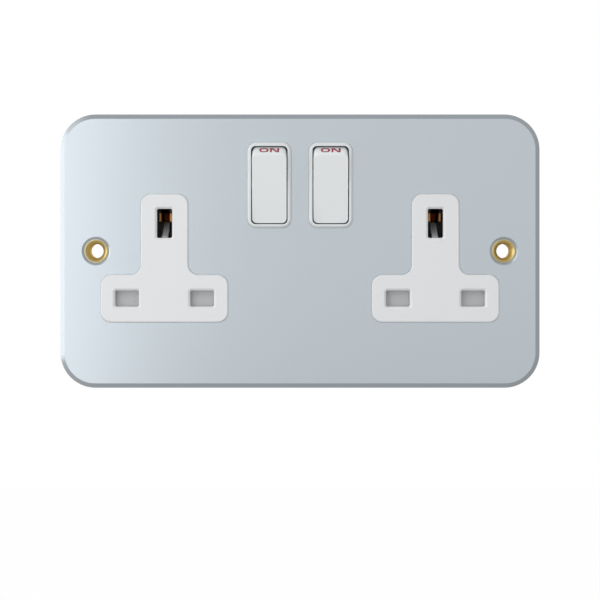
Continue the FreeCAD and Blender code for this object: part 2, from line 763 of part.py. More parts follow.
def make_shutter(name, side):
    """Shutter: two blades, a bridge, an arm with the earth pin's ramp and a spring seat."""
    body = new_body(f"shutter_{name}", (f"{side}*{OUTLET}", "0", "0"))
    outline = new_sketch(body, f"ShutterOutline_{name}", "XZ_Plane", SHUTTER_BACK)
    outer = "(pin_pitch/2 + blade_width/2)"
    inner = "(pin_pitch/2 - blade_width/2)"
    half = [
        ("arm_width/2", "ramp_low - sheet/2"),
        ("arm_width/2", "blade_top"),
        (outer, "blade_top"),
        (outer, "blade_bottom"),
        (inner, "blade_bottom"),
        (inner, "blade_top - bridge_height"),
    ]
    draw_polygon(outline, half + [(f"-{across}", up) for across, up in reversed(half)])
    pad(body, outline, "shutter", f"ShutterBlades_{name}")
    ramp = new_sketch(body, f"ShutterRamp_{name}", "YZ_Plane")
    draw_polygon(
        ramp,
        [
            ("-ramp_nose", "ramp_low"),
            ("-ramp_tail", "ramp_low + ramp_rise"),
            ("-ramp_tail", "ramp_low + ramp_rise - shutter"),
            (f"-{SHUTTER_BACK}", "ramp_low - 2*shutter"),
            ("-ramp_nose", "ramp_low - 1.5*shutter"),
        ],
    )
    pad(body, ramp, "ramp_width", f"RampRib_{name}", both=True)
    seat = new_sketch(body, f"SpringSeat_{name}", "XY_Plane", "blade_top - bridge_height")
    depth = f"(2*(shutter_coil + wire) - {SHUTTER_FRONT} + {SHUTTER_BACK})"
    draw_rectangle(
        seat, "2*(shutter_coil + wire)", f"{depth} + shutter", "0", f"({depth} - shutter)/2 - {SHUTTER_BACK}"
    )
    pad(body, seat, "shutter_seat", f"SpringSeatPad_{name}")


def make_coil(label, radius, turns, length, at, rotation):
    """Coil spring of square wire, its helix drawn as short straight runs."""
    wire = value("wire")
    steps = turns * COIL_STEPS
    lift = (length - 1.8 * wire) / steps
    points = []
    for step in range(steps + 1):
        angle = 2 * math.pi * step / COIL_STEPS
        points.append(Vector(radius * math.cos(angle), radius * math.sin(angle), step * lift))
    start, ahead = points[0], (points[1] - points[0]).normalize()
    outward = Vector(1, 0, 0)
    upward = ahead.cross(outward).normalize() * (wire / 2)
    sideways = outward * (wire / 2)
    corners = [start + sideways + upward, start - sideways + upward, start - sideways - upward]
    corners += [start + sideways - upward, corners[0]]
    path = Part.makePolygon(points)
    spring = document.addObject("Part::Feature", label)
    spring.Shape = path.makePipeShell([Part.makePolygon(corners)], True, False, 1)
    spring.Placement = Placement(at, rotation).multiply(Placement(Vector(0, 0, 0.9 * wire), Rotation()))
    return keep(spring, label)


def make_springs(name, side):
    """Shutter spring below the shutter's seat and plunger spring in the rocker's post."""
    seat = value("blade_top") - value("bridge_height")
    floor = value("body_bottom") + value("body_wall")
    flange_back = value("plate_front") - value("sheet") - value("flange")
    front = flange_back - value("shutter_gap") - value("wire") - value("shutter_coil")
    at = Vector(side * value("outlet_pitch") / 2, -front, floor)
    make_coil(
        f"shutter_spring_{name}", value("shutter_coil"), value("shutter_turns"), seat - floor, at, Rotation()
    )
    pivot_front = value("plate_front") + value("frame_proud") - value("rocker_pivot_depth")
    pivot = Vector(side * value("switch_pitch") / 2, -pivot_front, value("switch_height"))
    tilt = Rotation(Vector(1, 0, 0), value("rocker_tilt"))
    base = pivot + tilt.multVec(Vector(0, value("bore_floor"), 0))
    backward = tilt.multiply(Rotation(Vector(1, 0, 0), -90))
    length = value("plunger_tail") - value("bore_floor")
    make_coil(f"plunger_spring_{name}", value("plunger_coil"), value("plunger_turns"), length, base, backward)


def make_eyelet(name, side):
    """Brass eyelet: a flanged tube down to the wall plane, stepped to seat in the earth bar's lug."""
    body = new_body(f"eyelet_{name}", (f"{side}*fixing_pitch/2", "0", "0"))
    profile = new_sketch(body, f"EyeletProfile_{name}", "XY_Plane")
    lip = "dimple_depth - plate_front"
    draw_polygon(
        profile,
        [
            ("eyelet_bore", "0"),
            ("eyelet_neck", "0"),
            ("eyelet_neck", "-earth_strip_front"),
            ("eyelet_radius", "-earth_strip_front"),
            ("eyelet_radius", lip),
            ("eyelet_flange", lip),
            ("eyelet_flange", f"{lip} - eyelet_lip + eyelet_round"),
            ("eyelet_flange - eyelet_round", f"{lip} - eyelet_lip"),
            ("eyelet_bore", f"{lip} - eyelet_lip"),
        ],
    )
    revolve(body, profile, f"EyeletTurned_{name}")


def make_jaws(label, across):
    """Line or neutral contact: a sprung fork that grips the pin above and below."""
    body = new_body(label, (across, "0", LINE_HEIGHT))
    profile = new_sketch(body, f"{label}_fork", "YZ_Plane")
    inner = "jaw_gap/2"
    outer = "(jaw_gap/2 + jaw_leaf)"
    mouth = "(3*jaw_leaf)"
    upper = [
        (f"-{STRIP_TOP}", "strip_width/2"),
        ("-jaw_back", "strip_width/2"),
        ("-jaw_back", outer),
        (f"-jaw_front + {mouth}", outer),
        ("-jaw_front", f"{outer} + jaw_mouth"),
        ("-jaw_front", f"{inner} + jaw_mouth"),
        (f"-jaw_front + {mouth}", inner),
        ("-jaw_back - jaw_leaf", inner),
    ]
    draw_polygon(profile, upper + [(back, f"-({up})") for back, up in reversed(upper)])
    pad(body, profile, "jaw_width", f"{label}_pad", both=True)


def make_live_link(name, side):
    """Strip from a switch's cradle to the live contact of its outlet."""
    body = new_body(f"live_link_{name}")
    start = f"{side}*{SWITCH}"
    end = f"({side}*{OUTLET} + pin_pitch/2)"
    half = "strip_width/2"
    outline = new_sketch(body, f"LinkOutline_{name}", "XZ_Plane", FLOOR)
    draw_polygon(
        outline,
        [
            (f"{start} - {side}*{half}", f"switch_height - {half}"),
            (f"{end} - {side}*{half}", f"switch_height - {half}"),
            (f"{end} - {side}*{half}", f"{LINE_HEIGHT} - {half}"),
            (f"{end} + {side}*{half}", f"{LINE_HEIGHT} - {half}"),
            (f"{end} + {side}*{half}", f"switch_height + {half}"),
            (f"{start} - {side}*{half}", f"switch_height + {half}"),
        ],
    )
    pad(body, outline, "brass", f"LinkStrip_{name}")
    cradle = new_sketch(body, f"Cradle_{name}", "XZ_Plane", STRIP_TOP)
    draw_rectangle(cradle, "seesaw_width", "cradle_width", start, "switch_height")
    pad(body, cradle, f"{SEESAW} - cradle_depth - {STRIP_TOP}", f"CradleBlock_{name}")
    groove = new_sketch(body, f"CradleGroove_{name}", "YZ_Plane", start)
    draw_circle(groove, "knuckle + knuckle_fit", f"-{SEESAW}", "switch_height")
    pocket(body, groove, "2*seesaw_width", f"CradleCut_{name}", both=True)


def make_feed_bar():
    """Strip that feeds both switches from the live terminal."""
    body = new_body("live_feed_bar")
    outline = new_sketch(body, "FeedOutline", "XZ_Plane", f"{feed_front()} - brass")
    left = f"(-{SWITCH} - strip_width/2)"
    right = "(live_terminal - terminal_width/2)"
    draw_rectangle(outline, f"{right} - {left}", "strip_width", f"({right} + {left})/2", "feed_height")
    pad(body, outline, "brass", "FeedStrip")


def make_neutral_bar():
    """Rail below both outlets, with a tab to each neutral contact and a riser to the terminal."""
    body = new_body("neutral_bar")
    outline = new_sketch(body, "NeutralOutline", "XZ_Plane", FLOOR)
    left = f"(-{OUTLET} - pin_pitch/2)"
    right = f"({OUTLET} - pin_pitch/2)"
    half = "strip_width/2"
    rail_low = "(neutral_rail - neutral_rail_width/2)"
    rail_high = "(neutral_rail + neutral_rail_width/2)"
    top = "(terminal_low + terminal_height)"
    draw_polygon(
        outline,
        [
            (f"{left} - {half}", rail_low),
            (f"{right} + {half}", rail_low),
            (f"{right} + {half}", f"{LINE_HEIGHT} + {half}"),
            (f"{right} - {half}", f"{LINE_HEIGHT} + {half}"),
            (f"{right} - {half}", rail_high),
            (f"{left} + {half}", rail_high),
            (f"{left} + {half}", "terminal_low"),
            (f"{left} - {half} + terminal_width", "terminal_low"),
            (f"{left} - {half} + terminal_width", top),
            (f"{left} - {half}", top),
        ],
    )
    pad(body, outline, "brass", "NeutralStrip")
    hole = new_sketch(body, "NeutralScrewHole", "XZ_Plane", STRIP_TOP)
    draw_rectangle(hole, "screw_access", "screw_access", neutral_terminal(), screw_height("terminal_low"))
    pocket(body, hole, "2*brass", "NeutralScrewCut")


def neutral_terminal():
    """Return the X of the neutral terminal."""
    return f"(terminal_width/2 - strip_width/2 - {OUTLET} - pin_pitch/2)"


def screw_height(low):
    """Return the Z of the screw of a terminal that starts at a given height."""
    return f"({low} + terminal_height - screw_setback)"


def make_earth_bar():
    """Earth bar: lugs at both eyelets, a bridge between the outlets and jaws behind each slot."""
    body = new_body("earth_bar")
    back = "(earth_strip_front - brass)"
    outline = new_sketch(body, "EarthOutline", "XZ_Plane", back)
    inner = "(earth_bridge_end - strip_width)"
    lug = "fixing_pitch/2"
    half = [
        ("earth_bridge_end", "earth_bridge_low"),
        ("earth_bridge_end", "earth_strip_low"),
        (f"{lug} - strip_width/2", "earth_strip_low"),
        (f"{lug} - strip_width/2", "0"),
        (f"{lug} + strip_width/2", "0"),
        (f"{lug} + strip_width/2", "earth_strip_high"),
        (inner, "earth_strip_high"),
        (inner, "earth_bridge_high"),
    ]
    draw_polygon(outline, half + [(f"-({across})", up) for across, up in reversed(half)])
    pad(body, outline, "brass", "EarthStrip")
    lugs = new_sketch(body, "EarthLugs", "XZ_Plane", back)
    holes = new_sketch(body, "EarthLugHoles", "XZ_Plane", "earth_strip_front")
    for _, side in SIDES:
        draw_rectangle(lugs, "2*earth_lug", "2*earth_lug", f"{side}*{lug}")
        draw_circle(holes, "eyelet_neck + eyelet_fit", f"{side}*{lug}")
    pad(body, lugs, "brass", "EarthLugPads")
    pocket(body, holes, "2*brass", "EarthLugCuts")
    legs = new_sketch(body, "EarthLegs", "XY_Plane", "earth_strip_high - brass")
    for _, side in SIDES:
        draw_rectangle(
            legs,
            "terminal_width",
            f"{back} + earth_terminal_back",
            f"{side}*{OUTLET}",
            f"(earth_terminal_back - {back})/2",
        )
    pad(body, legs, "brass", "EarthLegStrips")
    for level, (low, high, root) in enumerate(
        (("earth_jaw_low", "earth_jaw_high", "0"), ("earth_jaw_high", "earth_strip_low + shutter", back))
    ):
        leaves = new_sketch(body, f"EarthLeaves{level}", "XY_Plane", low)
        for _, side in SIDES:
            centre = f"{side}*({OUTLET} + earth_jaw_shift)"
            for hand, spread in ((-side, "earth_jaw_flare"), (side, "earth_jaw_lip")):
                flare = f"(earth_jaw_gap/2 + {spread})"
                points = [
                    ("earth_jaw_gap/2", "-jaw_back - 2*jaw_leaf"),
                    ("earth_jaw_gap/2", "4*jaw_leaf"),
                    (flare, "jaw_leaf"),
                    (flare, f"-{root}"),
                    (f"{flare} + jaw_leaf", f"-{root}"),
                    (f"{flare} + jaw_leaf", "jaw_leaf"),
                    ("earth_jaw_gap/2 + jaw_leaf", "4*jaw_leaf"),
                    ("earth_jaw_gap/2 + jaw_leaf", "-jaw_back - 2*jaw_leaf"),
                ]
                draw_polygon(leaves, [(f"{centre} + {hand}*({across})", up) for across, up in points])
        pad(body, leaves, f"{high} - {low}", f"EarthLeafPads{level}")


def make_terminal(label, across, low, back):
    """Brass terminal block with a square wire way from above and a screw hole from the rear."""
    block = document.addObject("Part::Box", f"{label}_block")
    bind(block, "Length", "terminal_width")
    bind(block, "Width", f"{back} + terminal_front")
    bind(block, "Height", "terminal_height")
    place(block, (f"{across} - terminal_width/2", "-terminal_front", low))
    middle = wire_depth(back)
    way = document.addObject("Part::Box", f"{label}_way")
    bind(way, "Length", "wire_way")
    bind(way, "Width", "wire_way")
    bind(way, "Height", "terminal_height")
    place(way, (f"{across} - wire_way/2", f"{middle} - wire_way/2", f"{low} + terminal_web"))
    thread = document.addObject("Part::Cylinder", f"{label}_thread")
    bind(thread, "Radius", "screw_radius + screw_fit")
    bind(thread, "Height", "terminal_height")
    place(thread, (across, middle, screw_height(low)), "-90")
    holes = document.addObject("Part::Fuse", f"{label}_holes")
    holes.Base = way
    holes.Tool = thread
    cut = document.addObject("Part::Cut", label)
    cut.Base = block
    cut.Tool = holes
    keep(cut, label)

    screw = new_body(f"{label}_screw", (across, "0", screw_height(low)))
    profile = new_sketch(screw, f"{label}_screw_profile", "XY_Plane")
    tip = f"({middle} + wire_way/4)"
    top = f"({back} - screw_sink)"
    draw_polygon(profile, [("0", tip), ("screw_radius", tip), ("screw_radius", top), ("0", top)])
    revolve(screw, profile, f"{label}_screw_turned")
    slot = new_sketch(screw, f"{label}_screw_slot", "XZ_Plane", f"-{top}")
    draw_rectangle(slot, "3*screw_radius", "screw_slot")
    pocket(screw, slot, "screw_slot_depth", f"{label}_screw_cut", forward=True)


def wire_depth(back):
    """Return the Y of the middle of a terminal's wire way."""
    return f"(({back} - terminal_front)/2 - way_offset)"


def make_housing():
    """Rear housing: a stepped tub with pillars, a rest for the feed bar and wire entries."""
    body = new_body("rear_housing")
    half = [
        (FOOT, "body_bottom"),
        (FOOT, "body_shoulder"),
        (BODY, "body_shoulder"),
        (BODY, TOP),
    ]
    inner = [
        (f"({FOOT} - body_wall)", "(body_bottom + body_wall)"),
        (f"({FOOT} - body_wall)", "(body_shoulder - body_wall)"),
        (f"({BODY} - body_wall)", "(body_shoulder - body_wall)"),
        (f"({BODY} - body_wall)", f"({TOP} - body_wall)"),
    ]
    outline = new_sketch(body, "HousingOutline", "XZ_Plane", "-body_depth")
    draw_polygon(outline, half + [(f"-{across}", up) for across, up in reversed(half)])
    pad(body, outline, f"body_depth + {FLANGE_BACK}", "HousingBlock")
    dress(body, "Chamfer", "body_corner", lambda edge: runs_along(edge, 1), "HousingCorners")
    rear = value("body_depth")
    dress(body, "Chamfer", "body_rear_edge", lambda edge: lies_at(edge, 1, rear), "HousingRearEdge")
    cavity = new_sketch(body, "HousingCavity", "XZ_Plane", FLANGE_BACK)
    draw_polygon(cavity, inner + [(f"-{across}", up) for across, up in reversed(inner)])
    pocket(body, cavity, f"{FLANGE_BACK} - {FLOOR}", "HousingHollow")
    pillars = new_sketch(body, "Pillars", "XZ_Plane", FLOOR)
    for across, up in pillar_places():
        draw_rectangle(pillars, "pillar", "pillar", across[0], up)
    pad(body, pillars, f"{FLANGE_BACK} - {FLOOR}", "PillarPads")
    rest = new_sketch(body, "FeedRest", "XZ_Plane", FLOOR)
    left = f"(-{SWITCH} - strip_width/2)"
    right = "(live_terminal - terminal_width/2 - sheet)"
    draw_rectangle(rest, f"{right} - {left}", "body_wall", f"({right} + {left})/2", "feed_height")
    pad(body, rest, f"{feed_front()} - brass - {FLOOR}", "FeedRib")
    holes = new_sketch(body, "FastenerHoles", "XZ_Plane", FLANGE_BACK)
    heads = new_sketch(body, "FastenerHeads", "XZ_Plane", "-body_depth")
    for across, up in pillar_places():
        draw_circle(holes, "fastener_radius + fastener_fit", across[0], up)
        well = "2*(fastener_head + fastener_fit)"
        draw_rectangle(heads, well, well, across[0], up)
    pocket(body, holes, "2*body_depth", "FastenerBores")
    pocket(body, heads, "body_floor", "FastenerWells", forward=True)
    access = new_sketch(body, "ScrewAccess", "XZ_Plane", FLOOR)
    entries = new_sketch(body, "WireEntries", "XY_Plane", TOP)
    for _, across, low, back in terminals():
        draw_rectangle(access, "screw_access", "screw_access", across, screw_height(low))
        draw_rectangle(entries, "wire_entry", "wire_entry", across, wire_depth(back))
    pocket(body, access, "2*body_floor", "ScrewAccessCuts")
    pocket(body, entries, "2*body_wall", "WireEntryCuts")
    notch = new_sketch(body, "EarthNotch", "YZ_Plane")
    deep = "(earth_strip_front - brass - shutter_gap)"
    draw_rectangle(
        notch,
        f"{FLANGE_BACK} - {deep}",
        "earth_strip_high - earth_strip_low + 2*shutter_gap",
        f"-({FLANGE_BACK} + {deep})/2",
        "(earth_strip_high + earth_strip_low)/2",
    )
    pocket(body, notch, f"3*{BODY}", "EarthNotchCut", both=True)


def terminals():
    """List the terminals: label, X, lower Z and rear distance."""
    back = f"(-{STRIP_TOP})"
    return [
        ("terminal_live", "live_terminal", "terminal_low", back),
        ("terminal_neutral", neutral_terminal(), "terminal_low", back),
        ("terminal_earth_left", f"(-{OUTLET})", "earth_strip_high", "earth_terminal_back"),
        ("terminal_earth_right", OUTLET, "earth_strip_high", "earth_terminal_back"),
    ]


def make_fastener(label, across, up):
    """Screw that holds the housing to an outlet moulding, from the rear."""
    body = new_body(label, (across, "0", up))
    profile = new_sketch(body, f"{label}_profile", "XY_Plane")
    head = "(body_depth - body_floor)"
    draw_polygon(
        profile,
        [
            ("0", f"-({FLANGE_BACK} + fastener_bite)"),
            ("fastener_radius", f"-({FLANGE_BACK} + fastener_bite)"),
            ("fastener_radius", head),
            ("fastener_head", head),
            ("fastener_head", f"{head} + fastener_head_depth"),
            ("0", f"{head} + fastener_head_depth"),
        ],
    )
    revolve(body, profile, f"{label}_turned")


make_plate()
make_switch_moulding()
make_housing()
make_earth_bar()
make_feed_bar()
make_neutral_bar()
for side_name, side_sign in SIDES:
    make_outlet(side_name, side_sign)
    make_rocker(side_name, side_sign)
    make_plunger(side_name, side_sign)
    make_seesaw(side_name, side_sign)
    make_tips(side_name, side_sign)
    make_shutter(side_name, side_sign)
    make_springs(side_name, side_sign)
    make_eyelet(side_name, side_sign)
    make_live_link(side_name, side_sign)
    make_jaws(f"live_contact_{side_name}", f"{side_sign}*{OUTLET} + pin_pitch/2")
    make_jaws(f"neutral_contact_{side_name}", f"{side_sign}*{OUTLET} - pin_pitch/2")
for terminal_label, terminal_x, terminal_z, terminal_back in terminals():
    make_terminal(terminal_label, terminal_x, terminal_z, terminal_back)
for number, (fastener_x, fastener_z) in enumerate(pillar_places(), start=1):
    make_fastener(f"housing_screw_{number}", fastener_x[0], fastener_z)

document.recompute()
faults = [item.Name for item in document.Objects if "Invalid" in item.State or "Error" in item.State]
faults += [label for label, item in kept.items() if item.Shape.isNull() or not item.Shape.isValid()]
if faults:
    raise RuntimeError("faulty objects: " + ", ".join(faults))

os.makedirs("parts", exist_ok=True)
for label, item in kept.items():
    item.Shape.exportStep(f"parts/{label}.step")
print(f"{len(kept)} pieces written")
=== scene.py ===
"""Looks of a metal-clad twin switched socket outlet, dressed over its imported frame."""

from __future__ import annotations

import json
import logging
import math
from dataclasses import dataclass, field
from enum import Enum
from typing import Mapping, Sequence, Union

import bmesh
import bpy
import numpy as np
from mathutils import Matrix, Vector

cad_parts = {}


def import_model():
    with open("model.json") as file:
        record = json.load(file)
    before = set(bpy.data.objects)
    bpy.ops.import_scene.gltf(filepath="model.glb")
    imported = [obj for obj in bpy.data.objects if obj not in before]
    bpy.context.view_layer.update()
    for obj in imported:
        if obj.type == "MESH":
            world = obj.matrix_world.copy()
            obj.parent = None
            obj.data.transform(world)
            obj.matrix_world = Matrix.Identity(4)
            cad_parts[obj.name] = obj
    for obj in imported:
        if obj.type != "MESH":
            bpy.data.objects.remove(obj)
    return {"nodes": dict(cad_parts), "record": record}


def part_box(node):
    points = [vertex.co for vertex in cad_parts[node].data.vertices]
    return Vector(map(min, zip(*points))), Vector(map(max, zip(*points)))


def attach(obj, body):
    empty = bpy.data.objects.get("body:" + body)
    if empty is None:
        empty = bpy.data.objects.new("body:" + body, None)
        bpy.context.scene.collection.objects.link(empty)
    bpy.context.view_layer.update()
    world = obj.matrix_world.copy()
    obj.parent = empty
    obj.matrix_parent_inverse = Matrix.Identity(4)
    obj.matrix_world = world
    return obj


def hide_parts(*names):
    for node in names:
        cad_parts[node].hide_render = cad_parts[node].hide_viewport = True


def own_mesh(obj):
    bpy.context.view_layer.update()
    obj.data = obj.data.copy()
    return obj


LOG = logging.getLogger("twin_socket")
MM = 0.001
SIDES = ("left", "right")

Number = Union[int, float]
Colour = tuple[float, float, float]
WHITE = (1.0, 1.0, 1.0, 1.0)

# The colour sockets of a Mix node: share, first and second colour, and the output
MIX_SHARE, MIX_FIRST, MIX_SECOND, MIX_RESULT = 0, 6, 7, 2

# Corners nearer than this are one corner, and surfaces that differ by less than this angle are one surface
WELD = 0.002 * MM
FLAT = math.radians(0.5)

# A face looks forward when its normal's Y lies below the first, and an axis runs along Y above the second
FORWARD = -0.3
ALONG_Y = 0.9

# With this weight the largest face at a corner decides how the corner is shaded
FLATS_WEIGHT = 100

# What stands for the area of a triangle that has none
NO_AREA = 1e-12

# The frame's nodes by name, and each slide's travel in metres by joint
CAD_NODES: dict[str, bpy.types.Object] = {}
TRAVEL: dict[str, float] = {}


class Grain(Enum):
    """How the surface of a rolled or drawn metal is marked."""

    ROLLED = (1.0, 12.0, 1.0)
    DRAWN = (1.0, 1.0, 9.0)
    TURNED = (1.0, 14.0, 14.0)
    PLAIN = (1.0, 1.0, 1.0)


class Signal:
    """A node socket that takes part in sums, each operator adding one Math node."""

    def __init__(self, graph: "Graph", socket: bpy.types.NodeSocket) -> None:
        """Wrap a socket of a graph."""
        self.graph = graph
        self.socket = socket

    def _join(self, operation: str, first: "Value", second: "Value") -> "Signal":
        """Add a Math node over two values."""
        return self.graph.add("ShaderNodeMath", {"operation": operation}, {0: first, 1: second}).out()

    def __add__(self, other: "Value") -> "Signal":
        """Return self + other."""
        return self._join("ADD", self, other)

    def __radd__(self, other: "Value") -> "Signal":
        """Return other + self."""
        return self._join("ADD", other, self)

    def __sub__(self, other: "Value") -> "Signal":
        """Return self - other."""
        return self._join("SUBTRACT", self, other)

    def __rsub__(self, other: "Value") -> "Signal":
        """Return other - self."""
        return self._join("SUBTRACT", other, self)

    def __mul__(self, other: "Value") -> "Signal":
        """Return self * other."""
        return self._join("MULTIPLY", self, other)


Value = Union[Signal, Number, Sequence[float]]


class Built:
    """A node that has been added to a graph."""

    def __init__(self, graph: "Graph", node: bpy.types.Node) -> None:
        """Wrap a node of a graph."""
        self.graph = graph
        self.node = node

    def out(self, key: Union[int, str] = 0) -> Signal:
        """Return one of the node's outputs."""
        return Signal(self.graph, self.node.outputs[key])


class Graph:
    """The node tree of a material or of the world."""

    def __init__(self, tree: bpy.types.NodeTree) -> None:
        """Start from an empty tree."""
        self.tree = tree
        tree.nodes.clear()

    def add(
        self,
        kind: str,
        settings: Mapping[str, object] | None = None,
        sockets: Mapping[Union[int, str], Value] | None = None,
    ) -> Built:
        """Add a node.

        Args:
            kind: The node's type name.
            settings: Its own properties, set before its sockets.
            sockets: Values or links of its inputs, by name or number.

        Returns:
            The node, ready to link from.
        """
        node = self.tree.nodes.new(kind)
        for name, setting in (settings or {}).items():
            setattr(node, name, setting)
        for key, given in (sockets or {}).items():
            socket = node.inputs[key]
            if isinstance(given, Signal):
                self.tree.links.new(given.socket, socket)
            else:
                socket.default_value = given
        return Built(self, node)

    def noise(self, at: Signal, scale: float, detail: float = 3.0, rough: float = 0.5) -> Signal:
        """Add fractal noise.

        Args:
            at: The place that it is taken at.
            scale: Its cycles per metre.
            detail: How many finer layers it has.
            rough: How much each finer layer counts.

        Returns:
            Its level from 0 to 1.
        """
        sockets = {"Vector": at, "Scale": scale, "Detail": detail, "Roughness": rough}
        return self.add("ShaderNodeTexNoise", {}, sockets).out("Fac")

    def blend(self, share: Value, first: Value, second: Value) -> Signal:
        """Mix two colours.

        Args:
            share: How much of the second there is, from 0 to 1.
            first: One colour.
            second: The other.

        Returns:
            The colour between them.
        """
        settings = {"data_type": "RGBA", "clamp_factor": True}
        sockets = {MIX_SHARE: share, MIX_FIRST: first, MIX_SECOND: second}
        return self.add("ShaderNodeMix", settings, sockets).out(MIX_RESULT)

    def ramp(self, given: Signal, low: float, high: float, curve: str = "LINEAR") -> Signal:
        """Turn a signal into a share.

        Args:
            given: The signal.
            low: The level that gives 0, as all below it do.
            high: The level that gives 1, as all above it do.
            curve: The form of the step between them.

        Returns:
            The share.
        """
        settings = {"clamp": True, "interpolation_type": curve}
        sockets = {"Value": given, "From Min": low, "From Max": high}
        return self.add("ShaderNodeMapRange", settings, sockets).out()

    def greater(self, first: Value, second: Value) -> Signal:
        """Return the greater of two values."""
        return self.add("ShaderNodeMath", {"operation": "MAXIMUM"}, {0: first, 1: second}).out()


def opaque(colour: Colour, gain: float = 1.0) -> tuple[float, float, float, float]:
    """Give a colour full alpha.

    Args:
        colour: Red, green and blue.
        gain: What each of them is multiplied by, up to 1 at most.

    Returns:
        Red, green, blue and alpha.
    """
    red, green, blue = (min(1.0, channel * gain) for channel in colour)
    return (red, green, blue, 1.0)


@dataclass(frozen=True)
class Finish:
    """A surface finish: colour, gloss and the marks that vary them.

    Attributes:
        name: The material's name.
        colour: Its middle colour.
        roughness: Its middle roughness.
        metallic: How far it is a metal.
        grain: The way its streaks run.
        mottle_scale: Cycles per metre of the slow noise that mottles it.
        mottle: How far the mottle lightens and darkens the colour.
        texture_scale: Cycles per metre of the fine noise that gives it relief.
        texture_height: The relief's height in metres.
        streak: How far the streaks darken it.
        streak_share: The share of the streaks' noise that counts.
        streak_pitch: How far apart the streaks lie.
        streak_relief: The streaks' relief against the fine noise.
        soil: The colour of soiled patches, if any.
        soil_share: How far a patch covers the colour.
        soil_levels: The slow noise's levels at which a patch begins and is full.
        gloss_levels: What the roughness takes from itself, from the slow noise and from the streaks.
        edge_tint: The tint of a grazing reflection.
        painted_shade_heights: The heights at which painted shade begins and is full, if any.
        painted_shade_reach: How far from the middle the painted shade goes.
        painted_shade_colour: The colour of the painted shade.
        cache: The material that was made, by name.
    """

    name: str
    colour: Colour
    roughness: float
    metallic: float = 0.0
    grain: Grain = Grain.PLAIN
    mottle_scale: float = 90.0
    mottle: float = 0.03
    texture_scale: float = 2500.0
    texture_height: float = 0.000004
    streak: float = 0.0
    streak_share: float = 0.8
    streak_pitch: float = 1.1 * MM
    streak_relief: float = 0.5
    soil: Colour | None = None
    soil_share: float = 0.0
    soil_levels: tuple[float, float] = (0.48, 0.72)
    gloss_levels: tuple[float, float, float] = (0.86, 0.18, 0.10)
    edge_tint: Colour = (1.0, 1.0, 1.0)
    painted_shade_heights: tuple[float, float] | None = None
    painted_shade_reach: float = 47.0 * MM
    painted_shade_colour: Colour = (0.05, 0.03, 0.02)
    cache: dict[str, bpy.types.Material] = field(default_factory=dict, compare=False, hash=False, repr=False)

    def material(self) -> bpy.types.Material:
        """Return the finish's material, made on first use."""
        if self.name not in self.cache:
            self.cache[self.name] = self._make()
        return self.cache[self.name]

    def _make(self) -> bpy.types.Material:
        """Build the material: a mottled colour, uneven gloss and a fine relief.

        The colour is the finish's own times 1 plus or minus the mottle, by slow noise. The relief is a
        fast noise, and its height is a real one in metres. Streaks are noise stretched along the grain. Where
        painted shade heights are given, shade is painted: the colour goes from the metal's own to a dark one
        between the two heights, no further from the middle than the reach.
        """
        material = bpy.data.materials.new(self.name)
        material.use_nodes = True
        graph = Graph(material.node_tree)
        spot = graph.add("ShaderNodeTexCoord").out("Object")
        along = graph.add("ShaderNodeMapping", {}, {"Vector": spot, "Scale": self.grain.value}).out()
        slow = graph.noise(spot, self.mottle_scale)
        fine = graph.noise(spot, self.texture_scale, detail=4.0, rough=0.6)
        lines = graph.noise(along, 1.0 / self.streak_pitch, detail=5.0, rough=0.7)
        darkest, lightest = opaque(self.colour, 1.0 - self.mottle), opaque(self.colour, 1.0 + self.mottle)
        colour = graph.blend(slow, darkest, lightest)
        relief = fine
        if self.streak:
            colour = graph.blend(lines * self.streak_share, colour, opaque(self.colour, 1.0 - self.streak))
            relief = fine + lines * self.streak_relief
        if self.soil is not None:
            patch = graph.ramp(slow, *self.soil_levels)
            colour = graph.blend(patch * self.soil_share, colour, opaque(self.soil))
        # Painted shade: the colour darkens above the given heights, standing for the shadow under an
        # aperture's upper edge
        if self.painted_shade_heights is not None:
            colour = graph.blend(self._painted_shade(graph, spot), colour, opaque(self.painted_shade_colour))
        base, uneven, streaked = self.gloss_levels
        gloss = self.roughness * base + (slow * uneven + lines * streaked) * self.roughness
        bump = graph.add(
            "ShaderNodeBump", {}, {"Height": relief, "Strength": 1.0, "Distance": self.texture_height}
        )
        shader = graph.add(
            "ShaderNodeBsdfPrincipled",
            {},
            {
                "Base Color": colour,
                "Roughness": gloss,
                "Metallic": self.metallic,
                "Specular Tint": opaque(self.edge_tint),
                "Normal": bump.out(),
            },
        )
        graph.add("ShaderNodeOutputMaterial", {}, {"Surface": shader.out()})
        return material

    def _painted_shade(self, graph: Graph, spot: Signal) -> Signal:
        """Find where shade is painted on the metal, above the given heights.

        Args:
            graph: The material's graph.
            spot: The place on the object.

        Returns:
            The share of painted shade, 0 below the first height and past the reach, and 1 above the second
            height within the reach.
        """
        place = graph.add("ShaderNodeSeparateXYZ", {}, {0: spot})
        across = graph.add("ShaderNodeMath", {"operation": "ABSOLUTE"}, {0: place.out("X")}).out()
        within = {0: across, 1: self.painted_shade_reach}
        inner = graph.add("ShaderNodeMath", {"operation": "LESS_THAN"}, within).out()
        return graph.ramp(place.out("Z"), *self.painted_shade_heights) * inner


